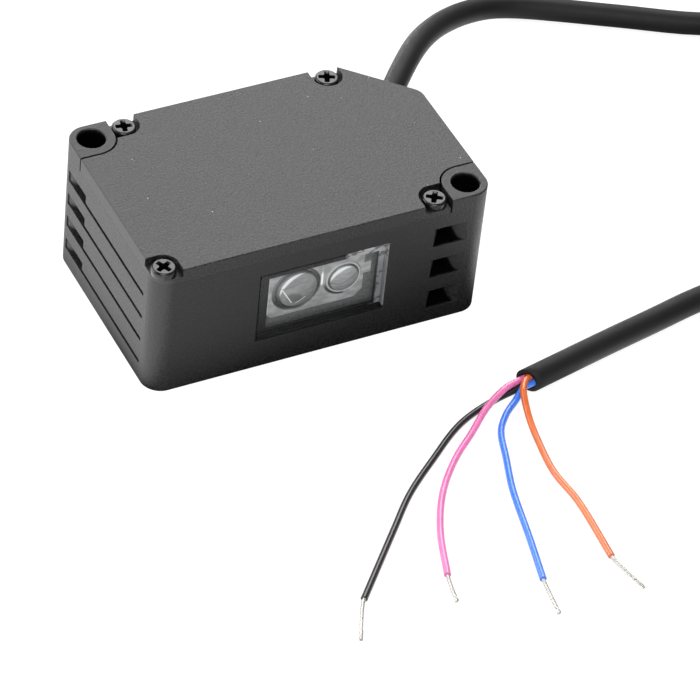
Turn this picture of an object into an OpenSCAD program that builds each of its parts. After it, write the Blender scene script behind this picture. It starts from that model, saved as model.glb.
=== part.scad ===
// Box-shaped photoelectric switch with two lenses behind one window and a four-core cable.
// Millimetres. +X runs along the long side, -Y is the sensing face, +Z goes up through the cover.
// The origin is in the middle of the body's underside.

/* [Body] */
// Length of the body along X
body_l = 57; // [55:0.5:60]
// Width of the body along Y
body_w = 36; // [35:0.5:40]
// Height of the closed body
body_h = 24.5; // [24:0.5:27]
// Thickness of the housing's side walls
wall = 1.8; // [1.6:0.1:2]
// Thickness of the housing's floor
floor_t = 1.8; // [1.5:0.1:2.2]
// Radius of the three square corners in plan
corner_r = 3.25; // [3:0.05:3.5]
// Leg of the cut-off corner where the cable leaves
chamfer_leg = 10.4; // [10:0.1:11]
// Radius in plan at both ends of the cut-off corner
chamfer_r = 2.5; // [2.2:0.1:3]
// Small bevel on the body's top and bottom edges
edge_break = 0.15; // [0.1:0.05:0.3]

/* [Cover] */
// Height of the cover's rim above the seam
cover_t = 2.5; // [2.3:0.1:2.8]
// Thickness of the cover's roof
roof_t = 1.8; // [1.6:0.1:2]
// How deep the screw notches are sunk below the cover's top
notch_depth = 1.4; // [1.3:0.05:1.6]
// Open line between the cover and the two mounting bosses
cover_gap = 0.3; // [0.2:0.05:0.35]
// Height of the gasket when it is squeezed
gasket_h = 0.8; // [0.6:0.1:1]
// Width of the gasket
gasket_w = 0.8; // [0.6:0.1:0.9]

/* [Mounting holes] */
// Diameter of the two through holes
hole_d = 4.5; // [4.3:0.1:4.6]
// Distance of each hole from the body's end
hole_inset_x = 3.5; // [3.4:0.05:3.6]
// Distance of each hole from the body's side
hole_inset_y = 3.25; // [3.2:0.05:3.4]
// Bevel at the mouths of the holes
hole_edge = 0.15; // [0.1:0.05:0.3]
// Radius of the boss around each hole, where it shows in the cover
boss_r = 3.75; // [3.65:0.05:3.85]

/* [Cover screws] */
// Diameter of the pan heads
head_d = 3.9; // [3.6:0.1:4]
// Height of the pan heads
head_h = 1.2; // [1:0.1:1.3]
// Diameter of the threaded shanks
shank_d = 1.6; // [1.4:0.1:1.8]
// Length of the shanks under the head
shank_l = 8; // [6:0.5:10]

/* [Slots and grooves] */
// Number of slots between the boss and the screw beside it
slot_count = 3; // [1:1:3]
// Height of one slot
slot_h = 3.65; // [3:0.05:4]
// Distance from slot to slot
slot_pitch = 6.4; // [6:0.1:6.6]
// Number of grooves in each end
groove_count = 4; // [1:1:4]
// Height of one groove
groove_h = 0.7; // [0.5:0.1:1]
// Depth of one groove
groove_depth = 0.7; // [0.5:0.1:0.9]
// Distance from groove to groove
groove_pitch = 4.6; // [4.4:0.1:4.8]
// Height of the deeper pocket at the boss end of each groove
pocket_h = 2.1; // [1.8:0.1:2.4]

/* [Window] */
// Length of the window recess
window_l = 22; // [21:0.5:23]
// Height of the window recess
window_h = 13.5; // [13:0.5:14]
// Thickness of the clear plate
window_t = 1; // [0.8:0.1:1.1]
// Thickness of the sealing frame behind the plate
window_seal_t = 0.2; // [0.1:0.05:0.25]
// Gap around the clear plate
window_gap = 0.25; // [0.15:0.05:0.3]
// Mean width of the ledges that the sealing frame lies on, at the two ends
ledge_x = 1.65; // [1.5:0.05:1.9]
// Mean width of the ledges above and below the opening
ledge_z = 1.3; // [1.2:0.05:1.5]

/* [Optics] */
// Diameter of the receiving lens
big_lens_d = 7.8; // [7.4:0.1:8]
// Diameter of the sending lens
small_lens_d = 5.8; // [5.4:0.1:6]
// Distance between the two lens axes
lens_spacing = 7.9; // [7.8:0.1:8.2]
// Length of the optical block, front to back
block_l = 14; // [13:0.5:15]

/* [Circuit boards] */
// Thickness of both boards
board_t = 1; // [0.8:0.1:1.2]
// Distance from the left end to the main board
board_gap_left = 8.5; // [8:0.1:9.5]
// Distance from the right end to the main board
board_gap_right = 10; // [9.5:0.1:11]
// Distance from either side to the main board
board_gap_side = 6; // [5.8:0.1:6.5]
// Distance from the main board up to the seam
board_drop = 1.5; // [1.4:0.1:1.8]

/* [Cable] */
// Outside diameter of the cable
cable_d = 4; // [3.8:0.1:4.2]
// Outside diameter of one core
core_d = 1.1; // [1:0.05:1.2]
// Diameter of a bare twisted strand
strand_d = 0.6; // [0.5:0.05:0.7]
// Mean diameter of the coil that the unseen length is wound in
coil_mean_d = 48; // [46:1:50]
// Turns side by side in the coil
coil_across = 3; // [2:1:3]
// Layers of turns in the coil
coil_layers = 4; // [2:2:4]

/* [Hidden] */

// Facets of a full circle
round_fn = 64;
// Overlap of a cut past the surface that it leaves
past = 1;

half_l = body_l / 2;
half_w = body_w / 2;
seam_z = body_h - cover_t;
notch_z = body_h - notch_depth;
inner_w = half_w - wall;

// Plan corners, anticlockwise from the front left: centre and radius
corners = [
  [[-half_l + corner_r, -half_w + corner_r], corner_r],
  [[half_l - corner_r, -half_w + corner_r], corner_r],
  [[half_l - chamfer_r, half_w - chamfer_leg - chamfer_r * tan(22.5)], chamfer_r],
  [[half_l - chamfer_leg - chamfer_r * tan(22.5), half_w - chamfer_r], chamfer_r],
  [[-half_l + corner_r, half_w - corner_r], corner_r]
];
// Outward direction of the side that follows each corner
side_angles = [-90, 0, 45, 90, 180];
corner_total = len(corners);

// The two mounting holes and bosses face each other across the middle
hole_x = half_l - hole_inset_x;
hole_y = half_w - hole_inset_y;
hole_r = hole_d / 2;
// How far a round wall in a slot reaches past the face, so that its edge isn't tangent to it
face_cut = 0.03;
// Radius of the boss where it stands in the slots and pockets
boss_face_r = hole_inset_y + face_cut;
// Flat land between the cover's cut-out and the gasket
rim_land = 0.4;
// Radius of the boss inside the housing
boss_inner_r = boss_r + cover_gap + rim_land + gasket_w;

// Cover screws: the two beside the bosses, the rear right one and the corner one
screw_side = 2;
screw_beside = 9.5;
screw_corner = 2;
screw_places = [
  [-half_l + screw_beside, half_w - screw_side],
  [half_l - screw_beside, -half_w + screw_side],
  [half_l - chamfer_leg - 2.1, half_w - screw_side],
  [-half_l + screw_corner, -half_w + screw_side]
];
// Angle at which each of them is driven home
screw_turns = [78, 57, 67, 26];
screw_column_r = 2.2;
notch_r = 2.5;
corner_notch_r = 2.4;
shank_hole_r = 1.1;
// Locating lip under the cover: its clearance to the walls and its width
lip_gap = 0.1;
lip_w = 0.55;
lip_h = gasket_h + 0.2;

// Slots at the front right corner, and the same turned half round at the rear left
slot_low_z = 2.9;
slot_l = 6.4;
slot_depth = 3.7;
slot_flank = 0.9;
slot_back = 1.5;

// Grooves and pockets in the ends
groove_low_z = 3.2;
groove_end_y = 13.5;
pocket_y = 8.2;
pocket_depth = 2.9;

// Height of the main board's underside
board_z = seam_z - board_drop - board_t;

// Window and the optics behind it
lens_z = body_h / 2;
window_back_y = -half_w + window_t;
ledge_y = window_back_y + window_seal_t;
opening_l = window_l - 2 * ledge_x;
opening_h = window_h - 2 * ledge_z;
opening_shift = [0.5, 0, -0.7];
lens_shift = 0.55;
big_lens_x = lens_shift - lens_spacing / 2;
small_lens_x = lens_shift + lens_spacing / 2;
moulding_y = -half_w + 2.25;
moulding_t = 1.25;
moulding_step = 0.25;
block_front_y = moulding_y + moulding_step;
block_back_y = block_front_y + block_l;
block_half_l = 10.4;
block_gap = 0.5;
block_top_z = board_z - block_gap;
pocket_back_y = moulding_y + moulding_t;
diode_r = 1.5;
diode_l = 3;
optics_board_back_y = block_back_y + board_t;

// Main board, its posts and its parts
board_left = -half_l + board_gap_left;
board_right = half_l - board_gap_right;
board_front = -half_w + board_gap_side;
board_rear = half_w - board_gap_side;
board_top_z = board_z + board_t;
post_r = 1.4;
post_in_x = 2.75;
post_in_y = 2;
pin_w = 0.5;
pin_pitch = 2.54;
pin_count = 5;
// Parts on the board: distance from its left and front edges, and size
ic_place = [6, 5];
ic_size = [7, 6, 1.2];
regulator_place = [25, 17];
regulator_size = [4.5, 2.5, 1.4];
transistor_place = [1, 10];
transistor_size = [6.5, 3.5, 1.8];
capacitor_place = [12, 18.5];
capacitor_r = 3.15;
capacitor_h = 8;
chip_count = 6;
chip_place = [2, 20];
chip_pitch = 5;
chip_size = [2, 1.25, 0.6];
guide_r = 1.25;
guide_z = board_z - 1.5;
indicator_size = [3, 2, 2.5];
indicator_y = board_rear;

// Cable: it leaves through the middle of the cut-off corner
cable_r = cable_d / 2;
core_r = core_d / 2;
strand_r = strand_d / 2;
exit_x = half_l - chamfer_leg / 2;
exit_y = half_w - chamfer_leg / 2;
exit_z = body_h / 2;
exit_angle = 45;
bush_neck_r = 3;
bush_flange_r = 4.2;
bush_flange_t = 1.2;
bush_l = 6;
jacket_in = 4.5;
lead_hole_r = 1.7;
// Middle of the leads' pads on the board, measured inwards, and the leads' rise before they turn up
pad_in = 11.5;
lead_rise = 3.5;

// Route of the cable from the exit, as offsets from it along X and Y and its share of the exit's height
feed_route = [
  [9.5, 10.5, 1], [15.1, 16.9, 0.9], [19.8, 22.2, 0.75], [25.3, 26.8, 0.55], [31, 30.6, 0.35],
  [36, 32.5, 0.2], [40, 33.5, 0.1], [44.5, 33, 0.03], [51, 30, 0], [58, 26, 0], [73, 18, 0]
];
// Middle of the coil, as an offset from the exit
coil_offset = [95, -17];
// Directions from the coil's middle to the places where the cable joins and leaves it
coil_in_angle = 75;
coil_out_angle = -95;
// Straight stretch where the cable runs on to the outer turn, and off it
coil_run = 17;
// Route of the cable from the coil to its cut end: offsets from the exit, and height
tail_route = [
  [66, -42.5, 11], [57, -42, 6], [47.5, -42.4, 2.6], [38, -43.3, 2], [28.5, -45.2, 2], [18.5, -47.2, 2],
  [3, -50.5, 2]
];
// Routes of the four bare cores: offsets from the cable's cut end, and height
black_route = [
  [-6, -0.8, 0.6], [-13, -3.5, 0.55], [-20.5, -9, 0.55], [-27, -14.3, 0.55], [-32.5, -20.1, 0.55],
  [-43, -31.4, 0.55]
];
pink_route = [
  [-3.8, -0.3, 2.05], [-8, -2.6, 1.6], [-12, -5.8, 0.8], [-17.3, -10.2, 0.55], [-22.3, -16, 0.55],
  [-26.3, -23.2, 0.55], [-29.3, -31.5, 0.55]
];
blue_route = [
  [-2.7, -2.1, 0.75], [-5.4, -4.2, 0.6], [-7.8, -7.2, 0.55], [-9.7, -12.5, 0.55], [-12, -19.2, 0.55],
  [-14.3, -29, 0.55], [-16.4, -37.4, 0.55]
];
orange_route = [
  [-1.3, -0.7, 3.2], [-1.8, -2.6, 2.75], [-2.8, -6.6, 1.5], [-3.5, -11, 0.8], [-4.3, -18, 0.55],
  [-3.8, -25, 0.55], [-4.6, -36.9, 0.55]
];
// Bare ends, from the end of each core's insulation
black_strand = [-4, -7.2];
pink_strand = [-1, -5.2];
blue_strand = [-0.9, -7];
orange_strand = [1.6, -7.5];
// Distance of each core's axis from the cable's axis
core_circle_r = 0.78;

// Coil: turns lie beside and on each other, on two ties
tie_t = 0.6;
tie_angle = 7;
tie_places = [-10, 170];
coil_w = coil_across * cable_d;
coil_h = coil_layers * cable_d;
coil_inner_r = (coil_mean_d - coil_w) / 2;
coil_outer_turn_r = coil_inner_r + coil_w - cable_r;
coil_low_z = tie_t + cable_r;
coil_high_z = tie_t + coil_h - cable_r;
coil_centre = [exit_x + coil_offset[0], exit_y + coil_offset[1]];
channel_w = cable_d + 0.1;

function toward(angle) = [cos(angle), sin(angle)];
function unit(v) = v / norm(v);
function lifted(p, z) = [p[0], p[1], z];

// Place on the coil's outer turn, and the way a clockwise turn runs there
function coil_place(angle) = coil_centre + coil_outer_turn_r * toward(angle);
function coil_heading(angle) = [sin(angle), -cos(angle)];

feed_end = coil_place(coil_in_angle);
tail_start = coil_place(coil_out_angle);
feed_path = concat(
  [lifted([exit_x, exit_y] - jacket_in * toward(exit_angle), exit_z), [exit_x, exit_y, exit_z]],
  [for (p = feed_route) [exit_x + p[0], exit_y + p[1], cable_r + p[2] * (exit_z - cable_r)]],
  [lifted(feed_end - coil_run * coil_heading(coil_in_angle), coil_low_z), lifted(feed_end, coil_low_z)]
);
tail_path = concat(
  [
    lifted(tail_start, coil_high_z),
    lifted(tail_start + coil_run * coil_heading(coil_out_angle), coil_high_z)
  ],
  [for (p = tail_route) [exit_x + p[0], exit_y + p[1], p[2] + cable_r - 2]]
);
cut_end = tail_path[len(tail_path) - 1];
cut_heading = unit(cut_end - tail_path[len(tail_path) - 2]);
// Sideways on the cable's cut face, towards the front
cut_side = [-cut_heading[1], cut_heading[0], 0];

// A core leaves the cut face straight, and a strand leaves its core straight
core_lead = 0.9;
strand_lead = 1.4;
function core_path(side, up, route) =
  let (start = cut_end + core_circle_r * (side * cut_side + [0, 0, up]))
  concat(
    [start, start + core_lead * cut_heading],
    [for (p = route) [cut_end[0] + p[0], cut_end[1] + p[1], p[2] - route[len(route) - 1][2] + core_r]]
  );
function strand_path(path, end) =
  let (stop = path[len(path) - 1], way = unit(stop - path[len(path) - 2]))
  [stop, stop + strand_lead * way, [stop[0] + end[0], stop[1] + end[1], strand_r]];

black_path = core_path(0, -1, black_route);
pink_path = core_path(-1, 0, pink_route);
blue_path = core_path(1, 0, blue_route);
orange_path = core_path(0, 1, orange_route);

// Points of the plan outline between its round corners, moved inwards by an inset
function outline_points(inset) = [
  for (k = [0:corner_total - 1])
    for (a = [side_angles[(k + corner_total - 1) % corner_total], side_angles[k]])
      corners[k][0] + (corners[k][1] - inset) * toward(a)
];

// Direction of a route at one of its points
function tangent(path, i) =
  unit(path[min(i + 1, len(path) - 1)] - path[max(i - 1, 0)]);

// One ring of points around a route, square to it
function ring_points(path, i, r, sides, ref) =
  let (t = tangent(path, i), u = unit(cross(t, ref)), v = cross(u, t))
  [for (s = [0:sides - 1]) path[i] + r * (cos(360 * s / sides) * u + sin(360 * s / sides) * v)];

// Round tube along a route
module tube(path, r, sides, ref = [0, 0, 1]) {
  rings = len(path);
  points = [for (i = [0:rings - 1]) each ring_points(path, i, r, sides, ref)];
  sleeve = [
    for (i = [0:rings - 2])
      for (s = [0:sides - 1])
        let (a = i * sides + s, b = i * sides + (s + 1) % sides)
          each [[a, b, b + sides], [a, b + sides, a + sides]]
  ];
  first = [for (s = [sides - 1:-1:0]) s];
  last = [for (s = [0:sides - 1]) (rings - 1) * sides + s];
  polyhedron(points = points, faces = concat([first], sleeve, [last]), convexity = 10);
}

// Plan outline of the body, moved inwards by an inset
module outline(inset = 0) {
  polygon(outline_points(inset));
  for (c = corners)
    translate(c[0]) circle(r = c[1] - inset, $fn = round_fn);
}

// The closed body's whole outer block, with a small bevel along its top and bottom edges
module outer_block() {
  hull()
    for (c = corners)
      translate(c[0]) {
        cylinder(r = c[1] - edge_break, h = body_h, $fn = round_fn);
        translate([0, 0, edge_break]) cylinder(r = c[1], h = body_h - 2 * edge_break, $fn = round_fn);
      }
}

// All space below or above the seam between the housing and the cover
module below_seam() {
  translate([-body_l, -body_w, -past]) cube([2 * body_l, 2 * body_w, seam_z + past]);
}

module above_seam() {
  translate([-body_l, -body_w, seam_z]) cube([2 * body_l, 2 * body_w, body_h]);
}

// Shape placed at the front right corner and, turned half round, at the rear left
module both_bosses() {
  children();
  rotate([0, 0, 180]) children();
}

// Plan of the front right boss as it fills its corner
module boss_plan(r) {
  translate([hole_x, -hole_y]) {
    circle(r = r, $fn = round_fn);
    translate([-r, -hole_inset_y - past]) square([r + hole_inset_x + past, hole_inset_y + past]);
    translate([0, -past]) square([hole_inset_x + past, r + past]);
  }
}

// Plan of all that is solid in the front right corner, less a margin
module corner_plan(margin) {
  slot_inner_y = -half_w + slot_depth + slot_back;
  pocket_inner_x = half_l - pocket_depth - slot_back;
  translate([hole_x, -hole_y]) circle(r = boss_inner_r - margin, $fn = round_fn);
  translate([half_l - screw_beside - screw_column_r + margin, -half_w - past])
    square([screw_beside + screw_column_r + past, slot_inner_y + half_w + past - margin]);
  translate([pocket_inner_x + margin, -half_w - past])
    square([pocket_depth + slot_back + past, half_w - pocket_y + slot_back + past - margin]);
}

// Plan of the hollow inside, widened by a margin
module hollow_plan(margin = 0) {
  difference() {
    outline(wall - margin);
    both_bosses() corner_plan(margin);
    for (p = screw_places)
      translate(p) circle(r = screw_column_r - margin, $fn = round_fn);
  }
}

// Bevel at one mouth of a through hole, opening upwards
module hole_mouth() {
  translate([0, 0, -hole_edge])
    cylinder(r1 = hole_r, r2 = hole_r + hole_edge + past, h = hole_edge + past, $fn = round_fn);
}

// Straight through hole with bevelled mouths
module through_hole() {
  translate([0, 0, -past]) cylinder(r = hole_r, h = body_h + 2 * past, $fn = round_fn);
  mirror([0, 0, 1]) hole_mouth();
  translate([0, 0, body_h]) hole_mouth();
}

// Plan of one slot: a slanting flank towards the screw and the round boss on the other side
module slot_plan() {
  tip_x = hole_x - slot_l;
  difference() {
    polygon([
      [tip_x - slot_flank * past, -half_w - past], [tip_x + slot_flank * slot_depth, -half_w + slot_depth],
      [hole_x, -half_w + slot_depth], [hole_x, -half_w - past]
    ]);
    translate([hole_x, -hole_y]) circle(r = boss_face_r, $fn = round_fn);
  }
}

// Slots in the front face between the boss and the screw column
module front_slots() {
  for (i = [0:slot_count - 1])
    translate([0, 0, slot_low_z + i * slot_pitch]) linear_extrude(slot_h) slot_plan();
}

// Grooves and pockets in the right end, next to the boss
module end_grooves(end_y) {
  for (i = [0:groove_count - 1])
    translate([0, 0, groove_low_z + i * groove_pitch]) {
      linear_extrude(pocket_h)
        difference() {
          translate([half_l - pocket_depth, -hole_y]) square([pocket_depth + past, hole_y - pocket_y]);
          translate([hole_x, -hole_y]) circle(r = boss_face_r, $fn = round_fn);
        }
      translate([half_l - groove_depth, -pocket_y - past, 0])
        cube([groove_depth + past, end_y + pocket_y + past, groove_h]);
      translate([half_l - groove_depth, end_y, groove_h / 2]) rotate([0, 90, 0])
        cylinder(r = groove_h / 2, h = groove_depth + past, $fn = 24);
    }
}

// Cylinder along the cable's axis, measured outwards from the cut-off corner's face
module along_exit(r, from, to) {
  translate([exit_x, exit_y, exit_z]) rotate([0, 0, exit_angle]) rotate([0, 90, 0])
    translate([0, 0, from]) cylinder(r = r, h = to - from, $fn = round_fn);
}

// Box in front of the sensing face's plane, centred on the window
module window_box(l, h, from_y, to_y) {
  translate([-l / 2, from_y, lens_z - h / 2]) cube([l, to_y - from_y, h]);
}

// Cylinder along the sensing axis
module along_sight(x, r, from_y, to_y) {
  translate([x, to_y, lens_z]) rotate([90, 0, 0]) cylinder(r = r, h = to_y - from_y, $fn = round_fn);
}

module board_posts() {
  for (x = [board_left + post_in_x, board_right - post_in_x])
    for (y = [board_front + post_in_y, board_rear - post_in_y])
      translate([x, y, floor_t - past]) cylinder(r = post_r, h = board_z - floor_t + past, $fn = 32);
}

module housing() {
  color([0.16, 0.16, 0.17])
    difference() {
      intersection() {
        outer_block();
        union() {
          below_seam();
          both_bosses() linear_extrude(body_h + past) boss_plan(boss_r);
        }
      }
      difference() {
        translate([0, 0, floor_t]) linear_extrude(body_h) hollow_plan();
        board_posts();
        both_bosses() linear_extrude(body_h + past) boss_plan(boss_r);
      }
      difference() {
        translate([0, 0, seam_z - gasket_h]) linear_extrude(body_h) hollow_plan(gasket_w);
        board_posts();
        both_bosses() linear_extrude(body_h + past) boss_plan(boss_r);
      }
      both_bosses() translate([hole_x, -hole_y, 0]) through_hole();
      for (p = screw_places)
        translate([p[0], p[1], notch_z - shank_l]) cylinder(r = shank_d / 2, h = shank_l, $fn = 32);
      both_bosses() front_slots();
      rotate([0, 0, 180]) end_grooves(groove_end_y);
      end_grooves(half_w - chamfer_leg - chamfer_r);
      window_box(window_l, window_h, -half_w - past, ledge_y);
      translate(opening_shift) window_box(opening_l, opening_h, ledge_y - past, -inner_w + past);
      along_exit(bush_neck_r, -wall - past, past);
      translate([0, half_w + past, guide_z]) rotate([90, 0, 0])
        cylinder(r = guide_r, h = wall + 2 * past, $fn = 32);
    }
}

// Space around one screw head in the cover's top
module screw_notch(place, r, wide) {
  translate([place[0], place[1], notch_z]) {
    cylinder(r = r, h = notch_depth + past, $fn = round_fn);
    for (w = wide)
      translate([w[0][0], w[0][1], 0]) cube([w[1][0], w[1][1], notch_depth + past]);
  }
}

module cover() {
  outward = screw_side + past;
  beside = screw_beside - hole_inset_x - boss_r;
  color([0.2, 0.2, 0.21])
    difference() {
      union() {
        intersection() {
          outer_block();
          above_seam();
        }
        translate([0, 0, seam_z - lip_h]) linear_extrude(lip_h + past / 2) hollow_plan(-lip_gap);
      }
      translate([0, 0, seam_z - lip_h - past]) linear_extrude(body_h - roof_t - seam_z + lip_h + past)
        hollow_plan(-lip_gap - lip_w);
      both_bosses() translate([0, 0, seam_z - past]) linear_extrude(cover_t + 2 * past)
        boss_plan(boss_r + cover_gap);
      both_bosses()
        screw_notch(
          screw_places[1], notch_r,
          [[[0, -outward], [beside, outward + notch_r]], [[-notch_r, -outward], [notch_r + beside, outward]]]
        );
      screw_notch(screw_places[2], notch_r, [[[-notch_r, 0], [2 * notch_r, outward]]]);
      screw_notch(
        screw_places[3], corner_notch_r,
        [
          [[-outward, -outward], [outward, outward + corner_notch_r]],
          [[-outward, -outward], [outward + corner_notch_r, outward]]
        ]
      );
      for (p = screw_places)
        translate([p[0], p[1], seam_z - past]) cylinder(r = shank_hole_r, h = cover_t + past, $fn = 32);
    }
}

module cover_gasket() {
  color([0.08, 0.08, 0.08])
    translate([0, 0, seam_z - gasket_h])
      difference() {
        linear_extrude(gasket_h) hollow_plan(gasket_w);
        translate([0, 0, -past]) linear_extrude(gasket_h + 2 * past) hollow_plan();
      }
}

// Cross recess under z = 0, its wings tapering inwards from their full length
module cross_recess(length, width, depth) {
  narrow = 0.7;
  flare = 0.3;
  bottom_r = length / 2 - narrow;
  rise = 1 + past / depth;
  intersection() {
    for (a = [0, 90])
      rotate([0, 0, a]) translate([-length / 2, -width / 2, -depth]) cube([length, width, depth + past]);
    translate([0, 0, -depth])
      cylinder(r1 = bottom_r, r2 = bottom_r + narrow * rise, h = depth * rise, $fn = 48);
  }
  translate([0, 0, -depth])
    cylinder(r1 = width / 2, r2 = width / 2 + flare * rise, h = depth * rise, $fn = 32);
}

// Pan-head screw with a rounded rim and a cross recess, driven home at an angle, head's seat at z = 0
module pan_screw(turn) {
  head_r = head_d / 2;
  rim_r = 0.4;
  difference() {
    rotate_extrude($fn = 48) {
      square([head_r, head_h - rim_r]);
      square([head_r - rim_r, head_h]);
      translate([head_r - rim_r, head_h - rim_r]) circle(r = rim_r, $fn = 32);
    }
    translate([0, 0, head_h]) rotate([0, 0, turn]) cross_recess(length = 2.7, width = 0.8, depth = 0.95);
  }
  translate([0, 0, -shank_l]) cylinder(r = shank_d / 2, h = shank_l, $fn = 32);
}

module cover_screws() {
  color([0.1, 0.1, 0.1])
    for (i = [0:len(screw_places) - 1])
      translate([screw_places[i][0], screw_places[i][1], notch_z]) pan_screw(screw_turns[i]);
}

module front_window() {
  color([0.75, 0.78, 0.8, 0.35])
    window_box(window_l - 2 * window_gap, window_h - 2 * window_gap, -half_w, window_back_y);
}

module window_seal() {
  color([0.06, 0.06, 0.06])
    difference() {
      window_box(window_l - 2 * window_gap, window_h - 2 * window_gap, window_back_y, ledge_y);
      translate(opening_shift) window_box(opening_l, opening_h, window_back_y - past, ledge_y + past);
    }
}

// Low dome of a lens, standing forward of the moulding's face
module lens_dome(x, d, sag) {
  r = d / 2;
  ball_r = (r * r + sag * sag) / (2 * sag);
  intersection() {
    translate([x, moulding_y - sag + ball_r, lens_z]) rotate([90, 0, 0]) sphere(r = ball_r, $fn = 96);
    along_sight(x, r, moulding_y - sag - past, moulding_y + moulding_t / 2);
  }
}

// Face of the lens moulding, seen from the front
module moulding_plan() {
  left = -8.4;
  right = 8.1;
  low = -4.8;
  high = 4.35;
  polygon([
    [left + 1, low], [right - 1.3, low], [right, low + 1.35], [right, -0.35], [right + 1.2, -0.35],
    [right + 1.2, 1.85], [right, 1.85], [right, high], [left, high], [left, low + 1]
  ]);
}

module lens_moulding() {
  color([0.8, 0.82, 0.84, 0.6]) {
    translate([0, moulding_y + moulding_t, lens_z]) rotate([90, 0, 0])
      linear_extrude(moulding_t) moulding_plan();
    lens_dome(big_lens_x, big_lens_d, 1.1);
    lens_dome(small_lens_x, small_lens_d, 1);
  }
}

module optical_block() {
  color([0.13, 0.13, 0.13])
    difference() {
      translate([-block_half_l, block_front_y, floor_t])
        cube([2 * block_half_l, block_l, block_top_z - floor_t]);
      translate([0, pocket_back_y, lens_z]) rotate([90, 0, 0])
        linear_extrude(moulding_t + past) moulding_plan();
      along_sight(big_lens_x, big_lens_d / 2 - 0.3, pocket_back_y - past, block_back_y - diode_l);
      along_sight(small_lens_x, small_lens_d / 2 - 0.3, pocket_back_y - past, block_back_y - diode_l);
      along_sight(big_lens_x, diode_r, block_back_y - diode_l - past, block_back_y + past);
      along_sight(small_lens_x, diode_r, block_back_y - diode_l - past, block_back_y + past);
    }
}

// Small round diode that fills its hole in the optical block
module round_diode(x, dome) {
  along_sight(x, diode_r, block_back_y - diode_l, block_back_y);
  if (dome)
    translate([x, block_back_y - diode_l, lens_z]) sphere(r = diode_r, $fn = 32);
}

module receiver_diode() {
  color([0.1, 0.1, 0.15]) round_diode(big_lens_x, false);
}

module emitter_diode() {
  color([0.85, 0.3, 0.3]) round_diode(small_lens_x, true);
}

module optics_board() {
  color([0.1, 0.35, 0.2])
    translate([-block_half_l, block_back_y, floor_t])
      cube([2 * block_half_l, board_t, block_top_z - floor_t]);
}

// Row of square pins that joins the two boards
module pin_row(clear) {
  for (i = [0:pin_count - 1])
    translate([(i - (pin_count - 1) / 2) * pin_pitch - pin_w / 2, optics_board_back_y, block_top_z - 3])
      cube([pin_w, pin_w, 3 + board_top_z - block_top_z + 0.8 + clear]);
}

module board_pins() {
  color([0.8, 0.7, 0.4]) pin_row(0);
}

module main_board() {
  color([0.1, 0.35, 0.2])
    difference() {
      translate([board_left, board_front, board_z])
        cube([board_right - board_left, board_rear - board_front, board_t]);
      pin_row(past);
    }
}

// Place on top of the main board, or under it by a depth
module on_board(place, depth = -board_t) {
  translate([board_left + place[0], board_front + place[1], board_z - depth]) children();
}

module signal_ic() {
  color([0.12, 0.12, 0.12]) on_board(ic_place) cube(ic_size);
}

module voltage_regulator() {
  color([0.15, 0.15, 0.15]) on_board(regulator_place) cube(regulator_size);
}

module output_transistor() {
  color([0.15, 0.15, 0.15]) on_board(transistor_place, transistor_size[2]) cube(transistor_size);
}

module smoothing_capacitor() {
  color([0.7, 0.7, 0.72])
    on_board(capacitor_place, capacitor_h) cylinder(r = capacitor_r, h = capacitor_h, $fn = 48);
}

module chip_parts() {
  color([0.6, 0.5, 0.35])
    for (i = [0:chip_count - 1])
      on_board(chip_place + [i * chip_pitch, 0]) cube(chip_size);
}

module indicator_diode() {
  color([0.8, 0.2, 0.1])
    translate([-indicator_size[0] / 2, indicator_y - indicator_size[1], board_z - indicator_size[2]])
      cube(indicator_size);
}

module indicator_window() {
  color([0.8, 0.15, 0.1])
    translate([0, half_w, guide_z]) rotate([90, 0, 0])
      cylinder(r = guide_r, h = half_w - indicator_y, $fn = 32);
}

module cable_bush() {
  color([0.09, 0.09, 0.09])
    difference() {
      union() {
        along_exit(bush_neck_r, -bush_l, 0);
        along_exit(bush_flange_r, -wall - bush_flange_t, -wall);
      }
      along_exit(cable_r + 0.05, -jacket_in, past);
      along_exit(lead_hole_r, -bush_l - past, -jacket_in + past);
    }
}

// One core inside the body, from the cable's inner end up to the main board
module inner_lead(side, up, spread) {
  inward = -toward(exit_angle);
  across = [toward(exit_angle)[1], -toward(exit_angle)[0]];
  root = [exit_x, exit_y] + core_circle_r * side * across;
  start_z = exit_z + core_circle_r * up;
  pad = [exit_x, exit_y] + (pad_in - 2 * up) * inward + spread * across;
  path = [
    lifted(root + jacket_in * inward, start_z),
    lifted(root + (bush_l + 1) * inward, start_z),
    lifted(pad, start_z + lead_rise),
    lifted(pad, board_z)
  ];
  tube(path, core_r, 8, [across[0], across[1], 0]);
}

module lead_black() {
  color([0.1, 0.1, 0.1]) inner_lead(0, -1, -1);
}

module lead_pink() {
  color([0.9, 0.4, 0.65]) inner_lead(-1, 0, -3);
}

module lead_blue() {
  color([0.1, 0.4, 0.9]) inner_lead(1, 0, 3);
}

module lead_orange() {
  color([0.85, 0.4, 0.15]) inner_lead(0, 1, 1);
}

module cable_feed() {
  color([0.12, 0.12, 0.12]) tube(feed_path, cable_r, 12);
}

module cable_tail() {
  color([0.12, 0.12, 0.12]) tube(tail_path, cable_r, 12);
}

// Straight channel in the coil where the cable joins its outer turn, ending square
module coil_channel(angle, turn, z) {
  place = coil_place(angle);
  translate([place[0], place[1], z - channel_w / 2]) rotate([0, 0, angle]) mirror([0, turn, 0])
    translate([-channel_w / 2, 0, 0]) cube([coil_w, coil_run + past, channel_w]);
}

module cable_coil() {
  color([0.12, 0.12, 0.12])
    difference() {
      translate(coil_centre) rotate_extrude($fn = 96)
        translate([coil_inner_r, tie_t]) square([coil_w, coil_h]);
      coil_channel(coil_in_angle, 0, coil_low_z);
      coil_channel(coil_out_angle, 1, coil_high_z);
    }
}

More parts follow.
